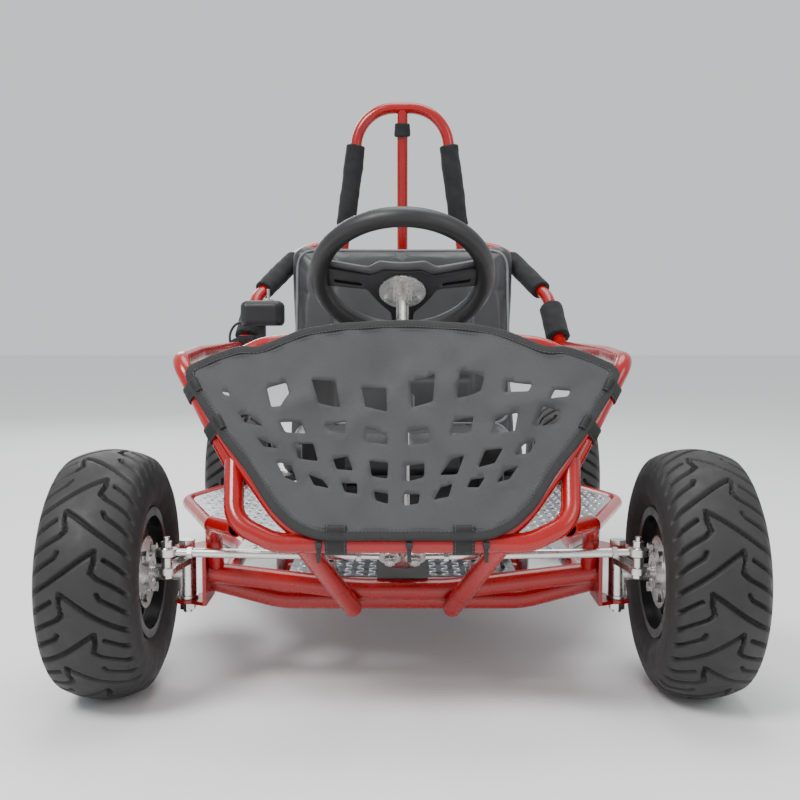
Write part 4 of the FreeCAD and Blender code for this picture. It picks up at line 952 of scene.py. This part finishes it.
def make_seat():
    back = remeshed("seat_back_pad", "seat_back_cushion", 0.0042, 0.0015)
    spots = spots_of(back.data)
    spots[:, 0] *= BACK_WIDER
    spots += np.array(UP_BACK)[None, :] * np.clip(spots[:, 2:] - BACK_PLAIN_TO, 0, 1) * BACK_TALLER
    move_spots(back.data, spots)
    inflate(back, 3.0, 0.008)

    def back_frame(co):
        up = (co - np.array((0, BACK_Y * MM, BACK_Z * MM))) @ np.array(UP_BACK)
        return np.stack([co[:, 0], up], 1)

    def on_back(x, h):
        return Vector((x * MM, BACK_Y * MM, BACK_Z * MM)) + UP_BACK * h * MM

    seams = [[(-128, 66), (-128, 372)], [(128, 66), (128, 372)], [(-128, 150), (128, 150)]]
    press(back, seams, 3.0, 2.6, back_frame, FRONT_OF_BACK)
    press(back, [rounded_loop(198, 12, 396, 36)], 3.0, 2.0, back_frame, FRONT_OF_BACK)
    finish_soft(back, LOOKS["seat_vinyl"], ("seat_back_cushion",))
    piping("seat_back_welt", back, rounded_loop(198, 66, 396, 36), on_back, FRONT_OF_BACK)

    base = remeshed("seat_base_pad", "seat_base_cushion", 0.0042, 0.0025)
    inflate(base, 3.2, 0.010)
    top = Vector((0, 0, 1))
    seams = [[(-128, -128), (-118, 96)], [(128, -128), (118, 96)], [(-125, -54), (125, -54)],
             [(-122, 20), (122, 20)]]
    press(base, seams, 3.6, 3.8, lambda co: co[:, :2], top)
    press(base, [rounded_loop(190, -124, 92, 26)], 3.0, 2.0, lambda co: co[:, :2], top)
    finish_soft(base, LOOKS["seat_vinyl"], ("seat_base_cushion",))
    piping("seat_base_welt", base, rounded_loop(190, -124, 70, 26),
           lambda x, y: Vector((x * MM, y * MM, 0.300)), top)


def make_foam():
    for name, node in (("hoop_foam", "roll_hoop_pads"), ("rail_foam", "side_rail_pads")):
        obj = remeshed(name, node, 0.0028)
        co, normals = spots_of(obj.data), normals_of(obj.data)
        x, y, z = co.T
        dent = (0.45 * np.sin(61 * z + 40 * x) + 0.35 * np.sin(117 * z - 70 * y + 1.3)
                + 0.25 * np.sin(230 * z + 150 * x + 90 * y))
        move_spots(obj.data, co + normals * dent[:, None] * MM)
        finish_soft(obj, LOOKS["foam_black"], (node,))


# ---------------------------------------------------------------- drive chain
RIM_R, RIM_TUBE, DISH = 134.0, 16.0, 26.0
WEB = ((0, 41), (30, 41), (50, 27), (122, 24), (124, -17), (56, -3), (19, -62), (16, -122))
COVER = ((0, 50), (36, 50), (55, 35), (118, 32), (118, -8), (52, -12), (24, -52), (13, -104))
SLOT = ((62, 2), (108, -4), (110, 3), (64, 9))
HUB_R, SPOKE_R = 40.0, 126.0


def wheel_place():
    """From mm across, up the face and down the column to the row frame."""
    joint = next(j for j in frame["record"]["behaviour"]["joints"] if j["name"] == "steering")
    down = -Vector(joint["axis"]).normalized()
    side = Vector((1, 0, 0))
    up = down.cross(side)
    centre = Vector(joint["pos_m"])
    return lambda x, y, z: centre + (side * x + up * y + down * z) * MM


def dished(x, y):
    """How far down the column the spokes lie: level across the hub, then rising to the rim."""
    share = (math.hypot(x, y) - HUB_R) / (SPOKE_R - HUB_R)
    return DISH * (1 - min(1.0, max(0.0, share)))


def web_plate(name, outline, front, thick, look, bevel, slots=()):
    """A dished plate cut to a symmetrical outline, its middle this far past the dish."""
    place = wheel_place()
    loop = [Vector(p) for p in outline] + [Vector((-x, y)) for x, y in reversed(outline) if x]
    loop = resampled(cornered(loop, 5.0), 4.0)
    holes = [resampled(cornered([Vector((x * s, y)) for x, y in slot], 3.0), 3.0)
             for slot in slots for s in (1, -1)]
    spots, edges = [], []
    for ring in [loop] + holes:
        first = len(spots)
        spots += [Vector((p.x, p.y)) for p in ring]
        edges += [(first + i, first + (i + 1) % len(ring)) for i in range(len(ring))]
    for x in range(-124, 125, 6):
        for y in range(-124, 54, 6):
            if inside(x, y, loop) and edge_distance(x, y, loop) > 3 and not any(
                    inside(x, y, h) or edge_distance(x, y, h) < 3 for h in holes):
                spots.append(Vector((x, y)))
    flat, _, faces, _, _, _ = delaunay_2d_cdt(spots, edges, [], 0, 0.01)
    kept = []
    for face in faces:
        mid = sum((flat[i] for i in face), Vector((0, 0))) / len(face)
        if inside(mid.x, mid.y, loop) and not any(inside(mid.x, mid.y, h) for h in holes):
            kept.append(face)
    obj = add(name, [place(p.x, p.y, dished(p.x, p.y) + front) for p in flat], kept, look,
              "steering", (), 35)
    loose = bmesh.new()
    loose.from_mesh(obj.data)
    bmesh.ops.delete(loose, geom=[v for v in loose.verts if not v.link_faces], context="VERTS")
    loose.to_mesh(obj.data)
    loose.free()
    shell = obj.modifiers.new("thick", "SOLIDIFY")
    shell.thickness, shell.offset = thick * MM, 0.0
    edge = obj.modifiers.new("edge", "BEVEL")
    edge.width, edge.segments, edge.limit_method = bevel * MM, 2, "ANGLE"
    edge.angle_limit = math.radians(50)
    mesh = evaluated(obj)
    obj.modifiers.clear()
    obj.data = mesh
    outward(obj)
    return obj


def make_steering_wheel():
    place = wheel_place()
    around, across = 144, 36
    verts, faces = [], []
    for i in range(around):
        a = math.tau * i / around
        for j in range(across):
            b = math.tau * j / across
            seam = 0.7 * math.exp(-((b - math.pi) / 0.09) ** 2)
            r = RIM_TUBE - seam
            out = RIM_R + r * math.cos(b) * 0.96
            verts.append(place(out * math.cos(a), out * math.sin(a), r * math.sin(b)))
            k, m = (i + 1) % around, (j + 1) % across
            faces.append((i * across + j, k * across + j, k * across + m, i * across + m))
    outward(add("steering_wheel_grip", verts, faces, LOOKS["grip_rubber"], "steering",
                ("steering_wheel",), 60))
    web_plate("steering_wheel_web", WEB, 0.0, 5.0, LOOKS["black_plastic"], 1.0, (SLOT,))
    # The cover's pale edge showing above the black web is a painted highlight for the plate's lit top.
    web_plate("steering_wheel_cover", COVER, -8.0, 7.0, PAINTED_HIGHLIGHT_PLASTIC, 2.2)


CHAIN_PITCH = 8.0
CHAIN_T = 6.5


def make_chain():
    low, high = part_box("chain")
    x = (low.x + high.x) / 2
    axle = Vector((0.460, 0.165))
    shaft = Vector((0.350, 0.222))
    big = high.y - axle.x - CHAIN_T / 2 * MM
    small = shaft.x - low.y - CHAIN_T / 2 * MM
    loop = belt(((axle.x / MM, axle.y / MM, big / MM), (shaft.x / MM, shaft.y / MM, small / MM)))
    line = [Vector(p) for p in loop]
    total = sum((b - a).length for a, b in zip(line, line[1:] + line[:1]))
    count = int(round(total / CHAIN_PITCH / 2)) * 2
    pins = resampled(line, total / count)
    heap = Heap()
    for k, pin_spot in enumerate(pins):
        after = pins[(k + 1) % len(pins)]
        here = Vector((0, pin_spot.x, pin_spot.y))
        there = Vector((0, after.x, after.y))
        ahead = (there - here).normalized()
        up = ahead.cross(Vector((1, 0, 0)))
        inner = k % 2 == 0
        offsets = (-2.6, 2.6) if inner else (-3.7, 3.7)
        for offset in offsets:
            verts = []
            outline = []
            for angle in np.linspace(math.pi / 2, 3 * math.pi / 2, 6):
                outline.append(here + (ahead * math.cos(angle) + up * math.sin(angle)) * 2.9)
            outline.append((here + there) / 2 - up * 1.9)
            for angle in np.linspace(-math.pi / 2, math.pi / 2, 6):
                outline.append(there + (ahead * math.cos(angle) + up * math.sin(angle)) * 2.9)
            outline.append((here + there) / 2 + up * 1.9)
            n = len(outline)
            for side in (-0.45, 0.45):
                verts += [(p + Vector((x / MM + offset + side, 0, 0))) * MM for p in outline]
            faces = [tuple(range(n)), tuple(range(2 * n - 1, n - 1, -1))]
            faces += [(i, i + n, (i + 1) % n + n, (i + 1) % n) for i in range(n)]
            heap.take(verts, faces)
        for r, half in ((2.3, 2.2), (1.1, 4.5)):
            ends = [Vector((x + s * half * MM, here.y * MM, here.z * MM)) for s in (-1, 1)]
            heap.take(*sweep(ends, [Vector((0, 0, 1))] * 2, in_metres(circle(r))))
    outward(add("roller_chain", heap.verts, heap.faces, CHAIN_STEEL, "chassis",
                ("chain",), 35))


# ---------------------------------------------------------------- cables
def route(name, points, diameter, look):
    """A cable on one smooth spline with these control points, in mm."""
    curve = bpy.data.curves.new(name, "CURVE")
    curve.dimensions = "3D"
    spline = curve.splines.new("NURBS")
    spline.points.add(len(points) - 1)
    for spot, p in zip(spline.points, points):
        spot.co = (p[0] * MM, p[1] * MM, p[2] * MM, 1)
    spline.order_u = 3
    spline.use_endpoint_u = True
    curve.resolution_u = 16
    curve.bevel_depth = diameter / 2 * MM
    curve.bevel_resolution = 5
    curve.use_fill_caps = True
    obj = bpy.data.objects.new(name, curve)
    bpy.context.scene.collection.objects.link(obj)
    curve.materials.append(look)
    return obj


POD_WIRE = ((-279.2, 4, 500), (-292, 4, 500), (-307, 10, 478), (-306, 34, 452), (-296.5, 72, 452))
BRAKE_CABLE = ((141, -400, 157), (141, -352, 157), (165, -280, 153.5), (165, 262, 153.5),
               (163, 318, 176), (142.5, 350, 237), (140.5, 382, 245))


def make_cables():
    for name, node, points, diameter, length in (
            ("pod_lead", "pod_wire", POD_WIRE, 4.4, 0.105),
            ("brake_cable_housing", "brake_cable", BRAKE_CABLE, 6.0, 0.815)):
        obj = route(name, points, diameter, LOOKS["black_plastic"])
        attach(obj, "chassis")
        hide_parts(node)


# ---------------------------------------------------------------- light, floor and camera
def area_light(name, spot, aim, size, power):
    light = bpy.data.lights.new(name, "AREA")
    light.shape, light.size, light.energy = "DISK", size, power
    obj = bpy.data.objects.new(name, light)
    obj.location = spot
    obj.rotation_euler = (Vector(aim) - Vector(spot)).to_track_quat("-Z", "Y").to_euler()
    bpy.context.scene.collection.objects.link(obj)


def make_studio():
    mesh = bpy.data.meshes.new("studio_floor")
    mesh.from_pydata([(-14, -14, 0), (14, -14, 0), (14, 14, 0), (-14, 14, 0)], [], [(0, 1, 2, 3)])
    floor = bpy.data.objects.new("studio_floor", mesh)
    bpy.context.scene.collection.objects.link(floor)
    pale = Look("pale_floor", (0.86, 0.86, 0.86), 0.75)
    pale.set("Roughness", pale.spread(pale.noise(3, 4), 0.7, 0.85))
    dress(floor, pale.material)
    world = bpy.data.worlds.new("studio_sky")
    bpy.context.scene.world = world
    world.use_nodes = True
    sky = world.node_tree.nodes["Background"]
    sky.inputs["Color"].default_value = (0.96, 0.98, 1.0, 1)
    sky.inputs["Strength"].default_value = 0.85
    area_light("key", (-1.6, -2.2, 2.9), (0, 0, 0.3), 1.3, 105)
    area_light("fill", (2.4, -2.2, 1.8), (0, 0, 0.35), 1.6, 22)
    area_light("top", (0.2, 0.4, 3.0), (0, 0, 0.4), 2.0, 45)
    area_light("rear", (-1.2, 2.8, 2.0), (0, 0.2, 0.4), 1.4, 30)
    camera = bpy.data.cameras.new("camera")
    camera.lens, camera.sensor_width = 47.53, 36.0
    camera.shift_x = -0.003
    eye = bpy.data.objects.new("camera", camera)
    eye.location = (0, -1.860, 0.500)
    eye.rotation_euler = (math.radians(90 - 4.225), 0, 0)
    bpy.context.scene.collection.objects.link(eye)
    bpy.context.scene.camera = eye


CHAIN_STEEL = plated("chain_steel", (0.20, 0.195, 0.19), 0.42, 80)
make_studio()
make_tyres()
lay_lugs("floor_tread_lugs", "floor_pan")
lay_lugs("wing_tread_lugs", "wing_steps")
make_shield()
make_straps()
make_seat()
make_foam()
make_steering_wheel()
make_chain()
make_cables()
